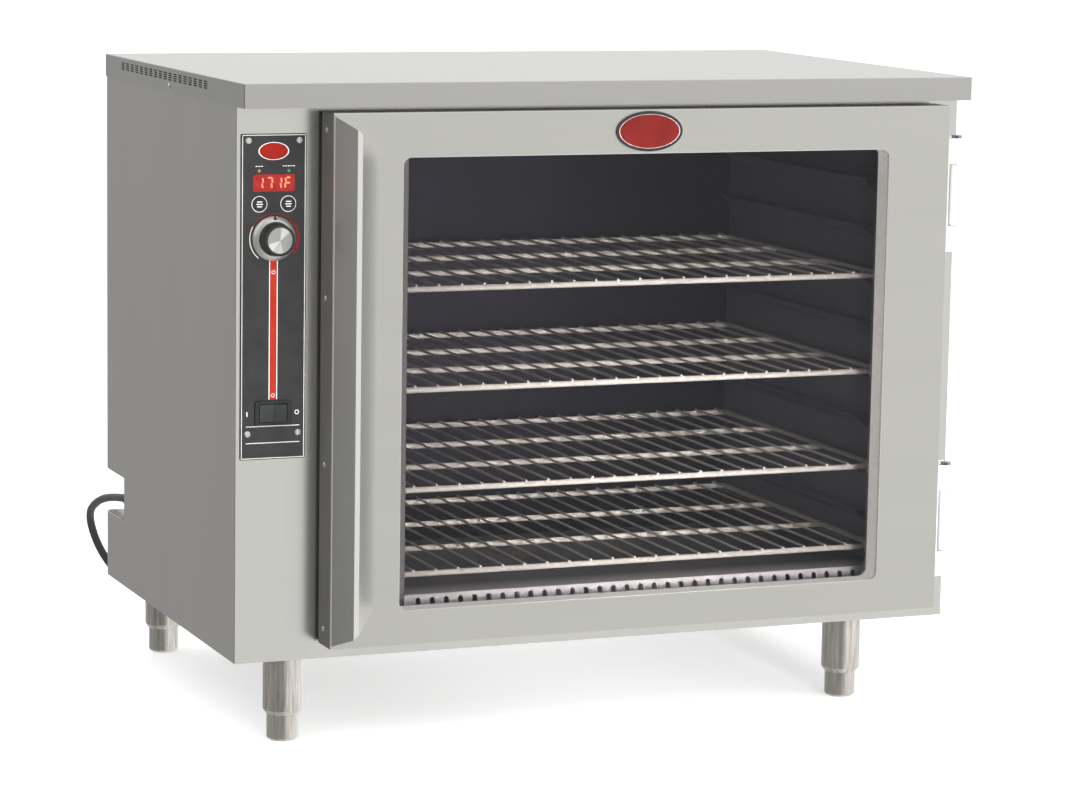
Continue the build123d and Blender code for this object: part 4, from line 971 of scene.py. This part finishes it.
def plug_pieces():
    """The moulded plug: a ribbed neck and a waisted grip, with its brass blades apart."""
    start_x = coil_centre[0] - plug_tail
    middle_y = coil_centre[1] - outer_radius
    middle_z = floor_height + layer_pitch
    grip_end = 39.9
    blade_length = 18.0
    blade_offset = 6.35
    profile = [(0, 5.0), (1.5, 5.6), (3.0, 5.0), (4.5, 5.9), (6.0, 5.3), (7.5, 6.3), (9.0, 5.7),
               (10.5, 6.8), (12.0, 6.4), (14.0, 7.5), (15.0, 11.5), (16.5, 13.2), (20.0, 13.6),
               (25.0, 12.6), (31.0, 12.9), (36.0, 13.8), (38.8, 13.8), (39.6, 13.2), (40.0, 12.2)]
    shell = turned("plug_shell", profile, (start_x, middle_y, middle_z), leftward)
    dress(shell, lead_rubber)
    blades = []
    for side in (-1, 1):
        place = (start_x - grip_end, middle_y + side * blade_offset, middle_z)
        blades.append(flat_bar("blade", 1.5, 6.3, blade_length, place, leftward, edge=0.4))
    blades.append(turned("earth_pin", [(0, 2.4), (15.5, 2.4), (17.2, 1.9), (blade_length, 0.9)],
                         (start_x - grip_end, middle_y, middle_z - 8.0), leftward, sides=24))
    contacts = joined("plug_blades", blades)
    dress(contacts, brass)
    for piece in (shell, contacts):
        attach(piece, "casing")
        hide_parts("plug")
    return [shell, contacts]


strain_relief_sleeve()
on_lead = plug_pieces() + [nodes["cord_tie"]]
dress(lead, lead_rubber)


# Door window
glass_lap = 10.0
window_corner = 9.0


def window_frame(name, width, depth, back_y, edge, finish):
    """A frame round the window: its width goes inwards from the edge, or outwards if negative."""
    pane_low, pane_high = (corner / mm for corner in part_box("outer_glass"))
    window_width = pane_high.x - pane_low.x - 2 * glass_lap + 2 * max(0, -width)
    window_height = pane_high.z - pane_low.z - 2 * glass_lap + 2 * max(0, -width)
    clear_choice()
    bpy.ops.mesh.primitive_plane_add(size=1, enter_editmode=True)
    bpy.ops.transform.resize(value=(window_width * mm, window_height * mm, 1),
                             center_override=(0, 0, 0))
    bpy.ops.mesh.bevel(offset=(window_corner + max(0, -width)) * mm, segments=6,
                       affect="VERTICES")
    bpy.ops.mesh.inset(thickness=abs(width) * mm)
    bpy.ops.mesh.delete(type="FACE")
    bpy.ops.mesh.select_all(action="SELECT")
    bpy.ops.mesh.extrude_region_move(TRANSFORM_OT_translate={"value": (0, 0, depth * mm)})
    bpy.ops.mesh.select_all(action="SELECT")
    bpy.ops.mesh.normals_make_consistent(inside=False)
    bpy.ops.object.mode_set(mode="OBJECT")
    piece = bpy.context.object
    piece.name = name
    middle = (pane_low + pane_high) / 2
    settle(piece, (middle.x, back_y, middle.z), front)
    finish_edges(piece, edge)
    dress(piece, finish)
    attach(piece, "door")


def window_rim():
    """The rolled edge of the sheet round the window."""
    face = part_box("door_shell")[0].y / mm
    window_frame("window_rim", 0.8, 1.1, face + 1.15, 0.25, rolled_edge)


def pane_spacer():
    """The white sealant strip between the two panes, flush with the window's edge; its glow is
    painted light.
    """
    outer_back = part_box("outer_glass")[1].y / mm
    inner_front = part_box("inner_glass")[0].y / mm
    window_frame("pane_spacer", -1.9, inner_front - outer_back - 0.2, inner_front - 0.1, 0.0,
                 spacer_painted_glow)


window_rim()
pane_spacer()


# Floor and light
def studio():
    """A white floor, a surround that is darker to the left and front-left, three soft boxes, and a
    narrow beam that shines through the window onto the shelves."""
    clear_choice()
    floor_radius = 60
    bpy.ops.mesh.primitive_circle_add(vertices=64, radius=floor_radius, fill_type="NGON")
    floor = bpy.context.object
    floor.name = "studio_floor"
    finish, tree = new_finish("matt_white_paper")
    fibres = add(tree, "ShaderNodeTexNoise", Vector=place_of(tree), Scale=40.0,
                 Detail=2.0).outputs["Fac"]
    paper = add(tree, "ShaderNodeBsdfPrincipled", Roughness=0.9, Specular_IOR_Level=0.1,
                Emission_Color=(1, 1, 1, 1), Emission_Strength=0.4,
                Base_Color=two_tone(tree, fibres, 0.0, 1.0, "#f6f6f6", "#fafafa"))
    close_off(tree, paper.outputs[0])
    dress(floor, finish)
    floor.visible_glossy = False

    world = bpy.data.worlds.new("surround")
    bpy.context.scene.world = world
    world.use_nodes = True
    tree = world.node_tree
    tree.nodes.clear()
    heading = add(tree, "ShaderNodeSeparateXYZ",
                  Vector=add(tree, "ShaderNodeTexCoord").outputs["Generated"])
    sideways = add(tree, "ShaderNodeValToRGB",
                   Fac=add(tree, "ShaderNodeMapRange", Value=heading.outputs["X"], From_Min=-1.0,
                           From_Max=1.0).outputs["Result"])
    stops = ((0.0, 0.2), (0.15, 0.25), (0.32, 0.40), (0.48, 0.72), (0.66, 0.98), (1.0, 1.05))
    ramp = sideways.color_ramp
    while len(ramp.elements) < len(stops):
        ramp.elements.new(0.5)
    for element, (position, strength) in zip(ramp.elements, stops):
        element.position = position
        element.color = (strength, strength, strength * 0.995, 1)
    overhead = add(tree, "ShaderNodeMapRange", Value=heading.outputs["Z"], From_Min=0.02,
                   From_Max=0.35, To_Min=0.0, To_Max=1.0)
    surround = add(tree, "ShaderNodeMix", {"data_type": "RGBA"}, i0=overhead.outputs["Result"],
                   i6=sideways.outputs["Color"], i7=(1.25, 1.25, 1.25, 1))
    front_left = add(tree, "ShaderNodeMath", {"operation": "MULTIPLY"},
                     i0=add(tree, "ShaderNodeMapRange", Value=heading.outputs["Y"], From_Min=-0.2,
                            From_Max=-0.7).outputs["Result"],
                     i1=add(tree, "ShaderNodeMapRange", Value=heading.outputs["X"], From_Min=0.1,
                            From_Max=-0.25).outputs["Result"]).outputs[0]
    shaded = add(tree, "ShaderNodeMix", {"data_type": "RGBA"}, i0=front_left,
                 i6=surround.outputs[2], i7=(0.19, 0.19, 0.19, 1))
    background = add(tree, "ShaderNodeBackground", Color=shaded.outputs[2], Strength=1.0)
    add(tree, "ShaderNodeOutputWorld", Surface=background.outputs[0])

    for name, place, aim, size, power, spread in (
            ("key_box", (1.8, -2.6, 2.4), (0, 0, 0.4), 2.2, 26, 180),
            ("fill_box", (-2.6, -2.2, 2.2), (0, 0, 0.4), 2.0, 16, 180),
            ("window_box", (-0.5, -2.8, 0.7), (0, 0, 0.35), 1.0, 30, 180),
            ("chamber_beam", (0.1, -1.9, 0.36), (0.06, -0.19, 0.30), 0.3, 3.0, 24)):
        data = bpy.data.lights.new(name, "AREA")
        data.energy = power
        data.size = size
        data.spread = math.radians(spread)
        lamp = bpy.data.objects.new(name, data)
        bpy.context.scene.collection.objects.link(lamp)
        lamp.location = place
        lamp.rotation_euler = (Vector(aim) - Vector(place)).to_track_quat("-Z", "Y").to_euler()
        lamp.visible_glossy = False


studio()
clear_choice()
